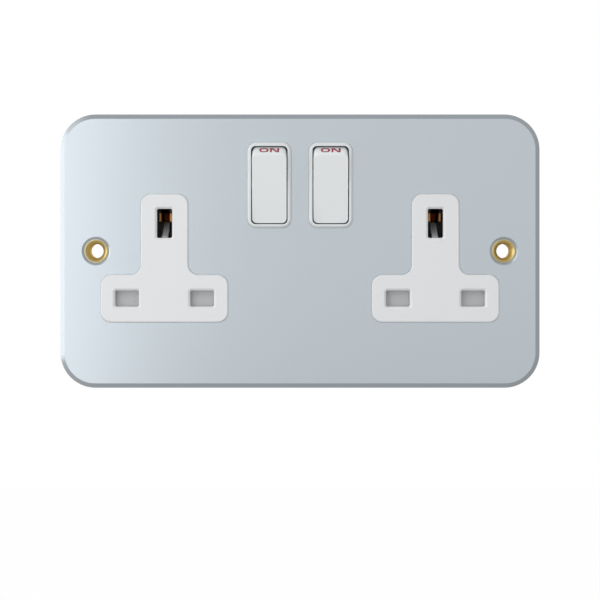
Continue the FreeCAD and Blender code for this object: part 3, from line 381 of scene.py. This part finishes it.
STEEL_PAINT = Finish(
    "silver_grey_paint", (0.52, 0.572, 0.61), 0.25, metallic=0.75, mottle_scale=60.0, mottle=0.012,
    texture_scale=900.0, texture_height=0.0000035,
)
WHITE_FACE = Finish(
    "white_moulding", (0.83, 0.842, 0.855), 0.30, mottle=0.012, texture_scale=3000.0, texture_height=0.0000025
)
WHITE_FRAME = Finish(
    "white_frame", (0.77, 0.80, 0.812), 0.30, mottle=0.012, texture_scale=3000.0, texture_height=0.0000025
)
WHITE_ROCKER = Finish(
    "white_rocker", (0.85, 0.872, 0.885), 0.24, mottle=0.012, texture_scale=2600.0, texture_height=0.000002
)
SHUTTER_GREY = Finish(
    "grey_shutter", (0.545, 0.555, 0.565), 0.48, mottle=0.03, texture_scale=4200.0, texture_height=0.000005
)
HOUSING_WHITE = Finish(
    "housing_plastic", (0.70, 0.70, 0.68), 0.52, mottle=0.035, texture_scale=3500.0, texture_height=0.000008
)
NYLON = Finish("natural_nylon", (0.66, 0.65, 0.60), 0.42, mottle=0.05, texture_height=0.000004)
EYELET_BRASS = Finish(
    "bright_brass", (0.76, 0.60, 0.25), 0.36, metallic=1.0, grain=Grain.TURNED, mottle=0.05, streak=0.12,
    texture_height=0.000002, soil=(0.36, 0.28, 0.13), soil_share=0.40, edge_tint=(0.72, 0.50, 0.20),
)
CONTACT_BRASS = Finish(
    "spring_brass", (0.58, 0.33, 0.13), 0.38, metallic=1.0, grain=Grain.ROLLED, mottle=0.06, streak=0.14,
    texture_height=0.000003, soil=(0.42, 0.22, 0.11), soil_share=0.45,
)
# The earth jaws' brass, with painted shade on the jaws' tops above 11.1 to 11.5 mm, for the shadow under the
# earth aperture's upper edge
EARTH_BRASS = Finish(
    "brass_with_painted_shade", (0.56, 0.29, 0.11), 0.42, metallic=1.0, grain=Grain.ROLLED, mottle=0.06, streak=0.12,
    texture_height=0.000003, soil=(0.42, 0.20, 0.08), soil_share=0.40, edge_tint=(0.7, 0.4, 0.2),
    painted_shade_heights=(0.0111, 0.0115),
)
SILVER_TIP = Finish(
    "silver_tip", (0.86, 0.85, 0.82), 0.26, metallic=1.0, grain=Grain.TURNED, mottle=0.04, streak=0.08
)
SPRING_WIRE = Finish(
    "spring_wire", (0.56, 0.56, 0.55), 0.28, metallic=1.0, grain=Grain.DRAWN, mottle=0.05, streak=0.12
)
ZINC_STEEL = Finish(
    "zinc_plate", (0.66, 0.64, 0.56), 0.34, metallic=1.0, grain=Grain.TURNED, mottle=0.07, streak=0.10,
    soil=(0.45, 0.43, 0.30), soil_share=0.25,
)
RED_INK = Finish("red_print", (0.33, 0.025, 0.04), 0.42, mottle=0.05, texture_height=0.000002)


def add_mesh(name: str, points: np.ndarray, faces: Sequence[Sequence[int]], smooth: bool) -> bpy.types.Object:
    """Put points and faces into a mesh whose object sits at the origin.

    Args:
        name: The piece's name.
        points: An array of N by 3 places in metres.
        faces: The corner numbers of each face.
        smooth: Whether the faces are shaded as one curve.

    Returns:
        The linked object.
    """
    mesh = bpy.data.meshes.new(name)
    mesh.from_pydata(points.tolist(), [], [list(face) for face in faces])
    mesh.polygons.foreach_set("use_smooth", np.full(len(mesh.polygons), smooth))
    mesh.update()
    piece = bpy.data.objects.new(name, mesh)
    bpy.context.scene.collection.objects.link(piece)
    return piece


def grid_faces(rows: int, columns: int, wrap_rows: bool, wrap_columns: bool) -> np.ndarray:
    """Return the four corners of every cell of a grid whose points are numbered row by row.

    Args:
        rows: How many rows of points there are.
        columns: How many points a row has.
        wrap_rows: Whether the last row joins the first.
        wrap_columns: Whether a row's last point joins its first.

    Returns:
        An array of cells by 4 point numbers.
    """
    row = np.arange(rows if wrap_rows else rows - 1)[:, None]
    column = np.arange(columns if wrap_columns else columns - 1)[None, :]
    next_row = (row + 1) % rows
    next_column = (column + 1) % columns
    corners = (
        row * columns + column,
        row * columns + next_column,
        next_row * columns + next_column,
        next_row * columns + column,
    )
    return np.stack(np.broadcast_arrays(*corners), axis=-1).reshape(-1, 4)


def set_outward(piece: bpy.types.Object) -> None:
    """Turn the faces of a closed mesh outward."""
    shape = bmesh.new()
    shape.from_mesh(piece.data)
    bmesh.ops.recalc_face_normals(shape, faces=shape.faces)
    shape.to_mesh(piece.data)
    shape.free()


def crease(piece: bpy.types.Object, degrees: float = 32.0) -> None:
    """Shade a piece smooth, except across its sharp edges, with flats kept flat.

    Args:
        piece: The piece to shade.
        degrees: The least angle of an edge that stays sharp.
    """
    mesh = piece.data
    shape = bmesh.new()
    shape.from_mesh(mesh)
    for edge in shape.edges:
        edge.smooth = edge.is_manifold and edge.calc_face_angle(0.0) < math.radians(degrees)
    shape.to_mesh(mesh)
    shape.free()
    mesh.polygons.foreach_set("use_smooth", np.ones(len(mesh.polygons), bool))
    weights = piece.modifiers.get("flats") or piece.modifiers.new("flats", "WEIGHTED_NORMAL")
    weights.keep_sharp = True
    weights.weight = FLATS_WEIGHT


def smooth_copy(node: str, finish: Finish, body: str) -> bpy.types.Object:
    """Replace a CAD node by a merged copy of itself that shades smoothly.

    Args:
        node: The CAD node's name.
        finish: What the copy is finished with.
        body: The CAD body that it rides on.

    Returns:
        The copy.
    """
    source = CAD_NODES[node]
    mesh = source.data.copy()
    shape = bmesh.new()
    shape.from_mesh(mesh)
    bmesh.ops.remove_doubles(shape, verts=shape.verts, dist=WELD)
    shape.to_mesh(mesh)
    shape.free()
    piece = bpy.data.objects.new(f"{node}_surface", mesh)
    bpy.context.scene.collection.objects.link(piece)
    mesh.materials.clear()
    finish_piece(piece, finish, body)
    crease(piece)
    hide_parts(node)
    return piece


def soften_ridges(piece: bpy.types.Object, width: float, least: float = 15.0, steps: int = 4) -> None:
    """Round the edges between two surfaces that both face forward.

    Args:
        piece: A merged copy of a CAD node.
        width: How far the rounding reaches from the edge.
        least: The least angle between the two surfaces, in degrees.
        steps: How many facets the rounding has.
    """
    shape = bmesh.new()
    shape.from_mesh(piece.data)
    bmesh.ops.dissolve_limit(
        shape, angle_limit=FLAT, verts=shape.verts, edges=shape.edges, use_dissolve_boundaries=False
    )
    ridges = [
        edge for edge in shape.edges
        if edge.is_manifold and edge.calc_face_angle(0.0) > math.radians(least)
        and all(face.normal.y < FORWARD for face in edge.link_faces)
    ]
    bmesh.ops.bevel(
        shape, geom=ridges, offset=width, offset_type="OFFSET", segments=steps, profile=0.5, affect="EDGES"
    )
    bmesh.ops.triangulate(shape, faces=shape.faces)
    shape.to_mesh(piece.data)
    shape.free()


def finish_piece(piece: bpy.types.Object, finish: Finish, body: str) -> None:
    """Give a new piece what it needs to take part.

    Args:
        piece: The piece.
        finish: What it is finished with.
        body: The CAD body that it rides on.
    """
    piece.data.materials.append(finish.material())
    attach(piece, body)


def dress(node: str, finish: Finish) -> None:
    """Finish a CAD node through its object's material slots.

    Args:
        node: The node's name.
        finish: What it is finished with.
    """
    item = CAD_NODES[node]
    if not item.material_slots:
        item.data.materials.append(finish.material())
    for slot in item.material_slots:
        slot.material = finish.material()


def facet(
    piece: bpy.types.Object, aim: Sequence[float], spread: float, depth: float = 0.3 * MM
) -> tuple[np.ndarray, np.ndarray, np.ndarray]:
    """Find the outermost flat facet of a piece that faces a direction.

    The facet is made of every triangle whose unit normal n has n.aim over the spread and whose middle lies
    within the depth of the furthest such middle along the aim. Its place is the mean of their middles,
    weighted by area.

    Args:
        piece: The piece to look at.
        aim: The direction to look for, of any length.
        spread: The least cosine between a triangle's normal and the direction.
        depth: How far behind the furthest triangle's middle another may lie.

    Returns:
        The facet's middle, its unit normal and all its corners.
    """
    mesh = piece.data
    mesh.calc_loop_triangles()
    corners = np.empty(len(mesh.loop_triangles) * 3, np.int32)
    mesh.loop_triangles.foreach_get("vertices", corners)
    places = np.empty(len(mesh.vertices) * 3)
    mesh.vertices.foreach_get("co", places)
    triangles = places.reshape(-1, 3)[corners.reshape(-1, 3)]
    normals = np.cross(triangles[:, 1] - triangles[:, 0], triangles[:, 2] - triangles[:, 0])
    areas = np.linalg.norm(normals, axis=1)
    areas[areas == 0.0] = NO_AREA
    normals /= areas[:, None]
    target = np.asarray(aim, float) / np.linalg.norm(aim)
    reach = triangles.mean(axis=1) @ target
    facing = normals @ target > spread
    chosen = facing & (reach > reach[facing].max() - depth)
    weight = areas[chosen]
    middle = (triangles[chosen].mean(axis=1) * weight[:, None]).sum(axis=0) / weight.sum()
    normal = (normals[chosen] * weight[:, None]).sum(axis=0)
    return middle, normal / np.linalg.norm(normal), triangles[chosen].reshape(-1, 3)


def turned(name: str, centre: Sequence[float], profile: np.ndarray, steps: int = 72) -> bpy.types.Object:
    """Turn a closed profile about an axis along Y.

    Point (i, j) lies at the centre plus (r_j cos a_i, y_j, r_j sin a_i), with a_i even steps of a turn.

    Args:
        name: The piece's name.
        centre: A point on the axis.
        profile: Rows of radius and place along Y.
        steps: How many steps one turn has.

    Returns:
        The piece.
    """
    angle = np.linspace(0.0, 2.0 * np.pi, steps, endpoint=False)[:, None]
    radius, depth = profile[None, :, 0], profile[None, :, 1]
    level = np.broadcast_to(depth, (steps, len(profile)))
    points = np.stack((radius * np.cos(angle), level, radius * np.sin(angle)), axis=-1)
    faces = grid_faces(steps, len(profile), True, True)
    piece = add_mesh(name, points.reshape(-1, 3) + np.asarray(centre, float), faces, True)
    set_outward(piece)
    return piece


@dataclass
class FrontPlate:
    """Pressed steel plate in silver-grey paint.

    Attributes:
        node: The plate's node.
    """

    node: str = "front_plate"

    def build(self) -> None:
        """Dress the plate."""
        smooth_copy(self.node, STEEL_PAINT, "socket")
        LOG.info("front plate painted")


@dataclass
class Eyelet:
    """Brass eyelet with a rolled lip and an open bore.

    Attributes:
        side: Left or right.
        lip_round: The radius of the lip's outside.
        funnel_depth: How far back the funnel reaches.
        funnel_bend: The share of the funnel's fall that is curved.
        lip: The lip's thickness at the flange.
        wall: The barrel's wall behind the step.
        barrel_wall: The barrel's wall in front of the step.
        step: Where the barrel's outside steps in.
        curve_steps: How many points the funnel has.
        outside_skip: How many of the quarter circle's points make one step of the outside.
        crease_angle: The least angle of an edge that stays sharp, in degrees.
    """

    side: str
    lip_round: float = 0.14 * MM
    funnel_depth: float = 1.05 * MM
    funnel_bend: float = 0.30
    lip: float = 0.45 * MM
    wall: float = 0.375 * MM
    barrel_wall: float = 0.62 * MM
    step: float = -3.0 * MM
    curve_steps: int = 16
    outside_skip: int = 3
    crease_angle: float = 40.0

    def build(self) -> None:
        """Turn the eyelet from a funnel's profile, and replace the plain one.

        The lip's outside is a quarter circle. Its inside runs from the crest into the bore, with share s of
        the way in: radius = crest - (crest - bore) s and
        place = front + depth ((1 - bend) s + bend (1 - cos(s pi / 2))).
        """
        node = f"eyelet_{self.side}"
        low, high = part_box(node)
        middle = ((low.x + high.x) / 2, 0.0, (low.z + high.z) / 2)
        flange = (high.x - low.x) / 2
        front, back = low.y, high.y
        bore = self.bore_radius(node, middle)
        crest = flange - self.lip_round
        turn = np.linspace(0.0, np.pi / 2, self.curve_steps)
        share = np.linspace(0.0, 1.0, self.curve_steps)
        fall = (1.0 - self.funnel_bend) * share + self.funnel_bend * (1.0 - np.cos(turn))
        inside = np.stack((crest - (crest - bore) * share, front + self.funnel_depth * fall), axis=-1)[::-1]
        rim = (crest + self.lip_round * np.sin(turn), front + self.lip_round * (1.0 - np.cos(turn)))
        outside = np.stack(rim, axis=-1)[1 :: self.outside_skip]
        under = front + self.lip
        tail = np.array(
            [
                (flange, under),
                (bore + self.barrel_wall, under),
                (bore + self.barrel_wall, self.step),
                (bore + self.wall, self.step),
                (bore + self.wall, back),
                (bore, back),
            ]
        )
        piece = turned(f"{node}_rolled", middle, np.concatenate((inside, outside, tail)))
        finish_piece(piece, EYELET_BRASS, "socket")
        crease(piece, self.crease_angle)
        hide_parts(node)
        LOG.info("eyelet %s turned", self.side)

    @staticmethod
    def bore_radius(node: str, middle: Sequence[float]) -> float:
        """Measure the bore.

        Args:
            node: The eyelet's node.
            middle: A point on its axis.

        Returns:
            The least distance of its corners from the axis.
        """
        mesh = CAD_NODES[node].data
        places = np.empty(len(mesh.vertices) * 3)
        mesh.vertices.foreach_get("co", places)
        places = places.reshape(-1, 3)
        return float(np.hypot(places[:, 0] - middle[0], places[:, 2] - middle[2]).min())


@dataclass
class OutletFace:
    """White outlet face, with its shutter and the shutter's spring behind.

    Attributes:
        side: Left or right.
        coil_play: How far the coil keeps from the ends and sides of its place.
        coil_wire: The wire's radius.
        coil_turns: How many turns the coil has.
    """

    side: str
    coil_play: float = 0.2 * MM
    coil_wire: float = 0.19 * MM
    coil_turns: float = 4.0

    def build(self) -> None:
        """Dress the moulding and the shutter, and coil the shutter's spring."""
        smooth_copy(f"outlet_moulding_{self.side}", WHITE_FACE, "socket")
        smooth_copy(f"shutter_{self.side}", SHUTTER_GREY, f"shutter_{self.side}")
        low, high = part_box(f"shutter_spring_{self.side}")
        middle = (low + high) / 2
        start = np.array((middle.x, middle.y, low.z + self.coil_play))
        run = np.array((0.0, 0.0, high.z - low.z - 2.0 * self.coil_play))
        radius = (high.x - low.x) / 2 - self.coil_play
        piece = coil(f"shutter_coil_{self.side}", start, run, radius, self.coil_wire, self.coil_turns)
        finish_piece(piece, SPRING_WIRE, "socket")
        shorten(piece, f"shutter_slide_{self.side}", run)
        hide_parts(f"shutter_spring_{self.side}")
        LOG.info("outlet %s dressed", self.side)


def coil(
    name: str,
    start: np.ndarray,
    run: np.ndarray,
    radius: float,
    wire: float,
    turns: float,
    sides: int = 10,
    turn_steps: int = 28,
    closed: float = 0.75,
    ease: float = 0.35,
) -> bpy.types.Object:
    """Wind a wire into a coil with closed ends.

    The wire's middle at share s of its length lies at start + axis * lift(s) + radius (cos t, sin t) in the
    plane across the axis, with t = 2 pi turns s. Lift is one wire's thickness over each closed end and, with
    u the share of the way between them, (1 - ease) u + ease u^2 (3 - 2 u) of the rest. The ring round it uses
    the outward direction and the cross product of that with the wire's own direction.

    Args:
        name: The piece's name.
        start: Where the axis begins.
        run: The axis from end to end.
        radius: The coil's middle radius.
        wire: The wire's radius.
        turns: How many turns it has.
        sides: How many sides the wire has.
        turn_steps: How many steps one turn has.
        closed: How much of a turn lies closed at each end.
        ease: The share of the rise that starts and ends gently.

    Returns:
        The piece.
    """
    steps = int(turns * turn_steps)
    thickness = 2.0 * wire
    share = np.linspace(0.0, 1.0, steps + 1)
    flat = closed / turns
    rise = np.clip((share - flat) / (1.0 - 2.0 * flat), 0.0, 1.0)
    rise = rise * rise * (3.0 - 2.0 * rise) * ease + rise * (1.0 - ease)
    axis = run / np.linalg.norm(run)
    across = np.cross(axis, (0.0, 1.0, 0.0) if abs(axis[1]) < ALONG_Y else (1.0, 0.0, 0.0))
    across /= np.linalg.norm(across)
    beside = np.cross(axis, across)
    angle = 2.0 * np.pi * turns * share
    outward = np.cos(angle)[:, None] * across + np.sin(angle)[:, None] * beside
    end_lift = np.clip(share / flat, 0.0, 1.0) + np.clip((share - 1.0 + flat) / flat, 0.0, 1.0)
    lift = rise * (np.linalg.norm(run) - 2.0 * thickness) + end_lift * thickness
    path = start + lift[:, None] * axis + radius * outward
    ahead = np.gradient(path, axis=0)
    ahead /= np.linalg.norm(ahead, axis=1)[:, None]
    upward = np.cross(ahead, outward)
    ring = np.linspace(0.0, 2.0 * np.pi, sides, endpoint=False)
    sideways = np.cos(ring)[None, :, None] * outward[:, None, :]
    lengthways = np.sin(ring)[None, :, None] * upward[:, None, :]
    points = path[:, None, :] + wire * (sideways + lengthways)
    faces = grid_faces(steps + 1, sides, False, True).tolist()
    faces.append(list(range(sides)))
    faces.append(list(range(steps * sides, (steps + 1) * sides)))
    piece = add_mesh(name, points.reshape(-1, 3), faces, True)
    set_outward(piece)
    return piece


def shorten(piece: bpy.types.Object, joint: str, run: np.ndarray) -> None:
    """Give a spring its own copy of its mesh. How much of it a slide's full travel would leave is worked out,
    but nothing shortens it.

    Args:
        piece: The spring, with its mesh final.
        joint: The slide that presses it.
        run: Its axis from the held end to the other.
    """
    length = float(np.linalg.norm(run))
    keep = (length - TRAVEL[joint]) / length
    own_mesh(piece)


@dataclass
class Lettering:
    """The word ON, printed on the rocker's upper bevel in a wide red face.

    Attributes:
        side: Left or right.
        face: The rocker that it is printed on.
        aim: The direction that the bevel faces.
        spread: The least cosine between the bevel's triangles and that direction.
        width: The word's width.
        height: Its height.
        stroke: The thickness of its level strokes.
        stem_ratio: How much thicker its upright strokes are.
        slant_ratio: The slanting stroke's width, taken level, against an upright one's.
        slant_inset: How far the slanting stroke's edge starts from the letter's end, against its width.
        squareness: The power of the letter O's curve, 2 for an ellipse.
        gap: The space between the letters.
        thickness: The ink's thickness.
        rise: Where the word's middle lies on the bevel, 0 at its foot and 1 at its top.
    """

    side: str
    face: bpy.types.Object
    aim: tuple[float, float, float] = (0.0, -0.599, 0.80)
    spread: float = 0.99
    width: float = 5.8 * MM
    height: float = 2.15 * MM
    stroke: float = 0.47 * MM
    stem_ratio: float = 1.15
    slant_ratio: float = 1.5
    slant_inset: float = 0.75
    squareness: float = 2.6
    gap: float = 0.46 * MM
    thickness: float = 0.02 * MM
    rise: float = 0.55

    def build(self) -> None:
        """Print both letters on the bevel."""
        middle, normal, corners = facet(self.face, self.aim, self.spread)
        across = np.array((1.0, 0.0, 0.0))
        up = np.cross(normal, across)
        along = (corners - middle) @ up
        centre = middle + up * (along.min() + (along.max() - along.min()) * self.rise)
        letter = (self.width - self.gap) / 2
        shift = (letter + self.gap) / 2
        for name, outline, offset in (
            ("O", self.ring(letter), -shift),
            ("N", self.strokes(letter), shift),
        ):
            points, faces = outline
            flat = centre + (points[:, :1] + offset) * across + points[:, 1:2] * up + points[:, 2:3] * normal
            piece = add_mesh(f"print_{name}_{self.side}", flat, faces, False)
            set_outward(piece)
            finish_piece(piece, RED_INK, f"rocker_{self.side}")
        LOG.info("rocker %s printed", self.side)

    def ring(self, width: float, steps: int = 56) -> tuple[np.ndarray, np.ndarray]:
        """Return the letter O as a band of ink.

        Both edges are superellipses, |x / a|^p + |y / b|^p = 1 with p the squareness, and the band is closed
        all round.

        Args:
            width: The letter's width.
            steps: How many steps one turn has.

        Returns:
            Its points, with the ink's depth last, and its faces.
        """
        angle = np.linspace(0.0, 2.0 * np.pi, steps, endpoint=False)
        turn = np.stack((np.cos(angle), np.sin(angle)), axis=-1)
        curve = np.sign(turn) * np.abs(turn) ** (2.0 / self.squareness)
        outer = curve * (width / 2, self.height / 2)
        inner = curve * (width / 2 - self.stroke * self.stem_ratio, self.height / 2 - self.stroke)
        edges = ((outer, 0.0), (outer, self.thickness), (inner, self.thickness), (inner, 0.0))
        rings = [np.c_[edge, np.full(steps, level)] for edge, level in edges]
        points = np.stack(rings, axis=1).reshape(-1, 3)
        return points, grid_faces(steps, len(rings), True, True)

    def strokes(self, width: float) -> tuple[np.ndarray, list[list[int]]]:
        """Return the letter N as one flat outline with a slanting middle stroke.

        Args:
            width: The letter's width.

        Returns:
            Its points, with the ink's depth last, and its faces.
        """
        half, tall = width / 2, self.height / 2
        stem = self.stroke * self.stem_ratio
        slant = stem * self.slant_ratio
        inset = slant * self.slant_inset
        outline = np.array(
            [
                (-half, -tall),
                (-half + stem, -tall),
                (-half + stem, tall - inset),
                (half - slant, -tall),
                (half, -tall),
                (half, tall),
                (half - stem, tall),
                (half - stem, -tall + inset),
                (-half + slant, tall),
                (-half, tall),
            ]
        )
        count = len(outline)
        under = np.c_[outline, np.zeros(count)]
        over = np.c_[outline, np.full(count, self.thickness)]
        sides = grid_faces(2, count, False, True).tolist()
        faces = [list(range(count)), list(range(2 * count - 1, count - 1, -1)), *sides]
        return np.concatenate((under, over)), faces


@dataclass
class Rocker:
    """Rocker switch with its plunger, plunger spring and see-saw contact.

    Attributes:
        side: Left or right.
        tilt: How far the rocker leans when it is on.
        bevel_run: How far along the rocker its upper bevel reaches.
        end_growth: How much longer its upper end becomes.
        ridge_round: How far the rounding of its ridges reaches.
        coil_length: The plunger spring's length.
        coil_radius: Its middle radius.
        coil_wire: Its wire's radius.
        coil_turns: How many turns it has.
    """

    side: str
    tilt: float = math.radians(8.0)
    bevel_run: float = 1.45 * MM
    end_growth: float = 0.19 * MM
    ridge_round: float = 0.5 * MM
    coil_length: float = 3.0 * MM
    coil_radius: float = 1.1 * MM
    coil_wire: float = 0.17 * MM
    coil_turns: float = 3.0

    def build(self) -> None:
        """Dress the moving pieces of one switch and coil its spring."""
        body = f"rocker_{self.side}"
        face = smooth_copy(body, WHITE_ROCKER, body)
        self.grow_end(face)
        Lettering(self.side, face).build()
        soften_ridges(face, self.ridge_round)
        crease(face)
        dress(f"plunger_{self.side}", NYLON)
        dress(f"seesaw_{self.side}", CONTACT_BRASS)
        dress(f"moving_tip_{self.side}", SILVER_TIP)
        dress(f"fixed_tip_{self.side}", SILVER_TIP)
        low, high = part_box(f"plunger_spring_{self.side}")
        run = np.array((0.0, math.cos(self.tilt), math.sin(self.tilt))) * self.coil_length
        start = np.array((low + high) / 2) - run / 2
        name = f"plunger_coil_{self.side}"
        piece = coil(name, start, run, self.coil_radius, self.coil_wire, self.coil_turns)
        finish_piece(piece, SPRING_WIRE, body)
        shorten(piece, f"plunger_slide_{self.side}", run)
        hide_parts(f"plunger_spring_{self.side}")
        LOG.info("rocker %s dressed", self.side)

    def grow_end(self, face: bpy.types.Object) -> None:
        """Lengthen the rocker's upper end a little, which closes the gap above it.

        Past the bevel's ridge each corner moves along the rocker by growth (reach - ridge) / run, so flats
        stay flat.

        Args:
            face: The rocker's copy.
        """
        along = np.array((0.0, -math.sin(self.tilt), math.cos(self.tilt)))
        places = np.empty(len(face.data.vertices) * 3)
        face.data.vertices.foreach_get("co", places)
        places = places.reshape(-1, 3)
        reach = places @ along
        share = np.clip((reach - reach.max()) / self.bevel_run + 1.0, 0.0, 1.0)
        places += share[:, None] * self.end_growth * along
        face.data.vertices.foreach_set("co", places.ravel())
        face.data.update()


@dataclass
class Conductors:
    """Brass conductors, contacts and terminals inside the housing.

    Attributes:
        singles: The conductors that there is one of.
        paired: The conductors that each outlet has one of.
        terminals: The terminals, each with a screw.
    """

    singles: tuple[str, ...] = ("live_feed_bar", "neutral_bar")
    paired: tuple[str, ...] = ("live_link", "live_contact", "neutral_contact")
    terminals: tuple[str, ...] = (
        "terminal_live",
        "terminal_neutral",
        "terminal_earth_left",
        "terminal_earth_right",
    )

    def build(self) -> None:
        """Dress every conductor and terminal."""
        pairs = [f"{name}_{side}" for name in self.paired for side in SIDES]
        for node in (*self.singles, *pairs, *self.terminals):
            dress(node, CONTACT_BRASS)
        # The earth bar's finish paints shade on the jaws' tops
        dress("earth_bar", EARTH_BRASS)
        for node in self.terminals:
            dress(f"{node}_screw", ZINC_STEEL)
        LOG.info("conductors dressed")


@dataclass
class Housing:
    """Rear housing, the switch moulding and the screws that hold them.

    Attributes:
        screws: What the names of the screws begin with.
    """

    screws: str = "housing_screw"

    def build(self) -> None:
        """Dress the mouldings and the screws."""
        smooth_copy("rear_housing", HOUSING_WHITE, "socket")
        smooth_copy("switch_moulding", WHITE_FRAME, "socket")
        for node in sorted(name for name in CAD_NODES if name.startswith(self.screws)):
            dress(node, ZINC_STEEL)
        LOG.info("housing dressed")


@dataclass(frozen=True)
class SoftBox:
    """A rectangular lamp.

    Attributes:
        name: Its name.
        place: Where it hangs.
        ahead: The direction that it faces, of any length.
        width: Its width.
        height: Its height.
        power: Its power in watts.
    """

    name: str
    place: tuple[float, float, float]
    ahead: tuple[float, float, float]
    width: float
    height: float
    power: float

    def hang(self) -> None:
        """Add the lamp to the scene."""
        light = bpy.data.lights.new(self.name, "AREA")
        light.shape = "RECTANGLE"
        light.size = self.width
        light.size_y = self.height
        light.energy = self.power
        item = bpy.data.objects.new(self.name, light)
        item.location = self.place
        x, y, z = self.ahead
        item.rotation_euler = (math.atan2(math.hypot(x, y), -z), 0.0, math.atan2(-x, y))
        bpy.context.scene.collection.objects.link(item)


@dataclass
class Studio:
    """Pale floor, soft lights and the camera in front of the plate.

    Attributes:
        eye_distance: How far the camera stands from the plate's rear plane.
        sensor: Its sensor's width in mm.
        lens: Its focal length in mm.
        shift: How far the frame is shifted, as a share of its width.
        near: The least distance that it sees.
        floor_height: The floor's height.
        floor_reach: Half the floor's width.
        floor_grey: The floor's own colour.
        floor_glow: The share of white that the camera sees in the floor.
        surround: The strength of the light from all round.
        room_grey: What a reflection sees of the room where no zone is bright.
        ahead_zone: The cosines between which the zone in front of the plate begins and is full.
        beside_zone: The same for the zone on its left.
        behind_zone: The same for the zone behind it.
        boxes: The lamps: a tall one beside the camera, a strip at the object's left and a weak one above.
    """

    eye_distance: float = 0.512
    sensor: float = 36.0
    lens: float = 102.5
    shift: float = -0.0815
    near: float = 0.01
    floor_height: float = -0.25
    floor_reach: float = 1.3
    floor_grey: float = 0.54
    floor_glow: float = 0.985
    surround: float = 0.77
    room_grey: float = 0.47
    ahead_zone: tuple[float, float] = (0.80, 0.97)
    beside_zone: tuple[float, float] = (0.25, 0.75)
    behind_zone: tuple[float, float] = (0.50, 0.90)
    boxes: tuple[SoftBox, ...] = (
        SoftBox("side_box", (-0.375, -0.56, 0.02), (0.0, 1.0, 0.0), 0.5, 1.3, power=2.1),
        SoftBox("edge_box", (-0.90, -0.10, 0.0), (1.0, 0.0, 0.0), 0.4, 1.0, power=2.1),
        SoftBox("top_box", (0.15, -0.45, 0.75), (-0.15, 0.45, -0.75), 0.7, 0.5, power=0.10),
    )

    def build(self) -> None:
        """Set up everything that isn't the object."""
        self._camera()
        self._world()
        self._floor()
        for box in self.boxes:
            box.hang()
        bpy.context.scene.view_settings.view_transform = "Standard"
        LOG.info("studio ready")

    def _camera(self) -> None:
        """Place the camera on the plate's axis, level, with the frame shifted down."""
        camera = bpy.data.cameras.new("camera")
        camera.sensor_width = self.sensor
        camera.lens = self.lens
        camera.shift_y = self.shift
        camera.clip_start = self.near
        item = bpy.data.objects.new("camera", camera)
        item.location = (0.0, -self.eye_distance, 0.0)
        item.rotation_euler = (math.pi / 2, 0.0, 0.0)
        bpy.context.scene.collection.objects.link(item)
        bpy.context.scene.camera = item

    def _seen(self, graph: Graph) -> Signal:
        """Return 1 for camera, glossy and transmission rays, and 0 for the rest."""
        path = graph.add("ShaderNodeLightPath")
        total = path.out("Is Camera Ray") + path.out("Is Glossy Ray") + path.out("Is Transmission Ray")
        return graph.add("ShaderNodeMath", {"operation": "MINIMUM"}, {0: total, 1: 1.0}).out()

    def _world(self) -> None:
        """Light the object from all round, with a white ground and greyer sides in reflections.

        A reflection sees white straight ahead of the plate, behind it and on its left, where the soft box
        stands, and the grey of the room above, below and on the right.
        """
        world = bpy.data.worlds.new("studio")
        world.use_nodes = True
        graph = Graph(world.node_tree)
        way = graph.add("ShaderNodeSeparateXYZ", {}, {0: graph.add("ShaderNodeTexCoord").out("Generated")})
        ahead = graph.ramp(way.out("Y") * -1.0, *self.ahead_zone, curve="SMOOTHSTEP")
        beside = graph.ramp(way.out("X") * -1.0, *self.beside_zone, curve="SMOOTHSTEP")
        behind = graph.ramp(way.out("Y"), *self.behind_zone, curve="SMOOTHSTEP")
        bright = graph.greater(graph.greater(ahead, beside), behind)
        camera = graph.add("ShaderNodeLightPath").out("Is Camera Ray")
        seen = self._seen(graph)
        strength = camera + (seen - camera) * (self.room_grey + bright * (1.0 - self.room_grey))
        strength = strength + (1.0 - seen) * self.surround
        ground = graph.add("ShaderNodeBackground", {}, {"Color": WHITE, "Strength": strength})
        graph.add("ShaderNodeOutputWorld", {}, {"Surface": ground.out()})
        bpy.context.scene.world = world

    def _floor(self) -> None:
        """Lay a plain floor well below the object, white to the camera."""
        half, level = self.floor_reach, self.floor_height
        corners = np.array(
            [(-half, -half, level), (half, -half, level), (half, half, level), (-half, half, level)]
        )
        floor = add_mesh("floor", corners, [[0, 1, 2, 3]], False)
        material = bpy.data.materials.new("floor")
        material.use_nodes = True
        graph = Graph(material.node_tree)
        grey = (self.floor_grey, self.floor_grey, self.floor_grey, 1.0)
        paint = graph.add("ShaderNodeBsdfDiffuse", {}, {"Color": grey})
        glow = graph.add("ShaderNodeEmission", {}, {"Color": WHITE, "Strength": 1.0})
        share = graph.add("ShaderNodeLightPath").out("Is Camera Ray") * self.floor_glow
        mixed = graph.add("ShaderNodeMixShader", {}, {0: share, 1: paint.out(), 2: glow.out()})
        graph.add("ShaderNodeOutputMaterial", {}, {"Surface": mixed.out()})
        floor.data.materials.append(material)


def main() -> None:
    """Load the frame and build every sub-assembly."""
    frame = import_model()
    CAD_NODES.update(frame["nodes"])
    joints = frame["record"]["behaviour"]["joints"]
    TRAVEL.update({joint["name"]: joint["range_m"][1] for joint in joints if "range_m" in joint})
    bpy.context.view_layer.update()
    assemblies = [FrontPlate(), Housing(), Conductors(), Studio()]
    for side in SIDES:
        assemblies += [Eyelet(side), OutletFace(side), Rocker(side)]
    for assembly in assemblies:
        assembly.build()


if __name__ == "__main__":
    logging.basicConfig(level=logging.INFO, format="%(message)s")
    main()
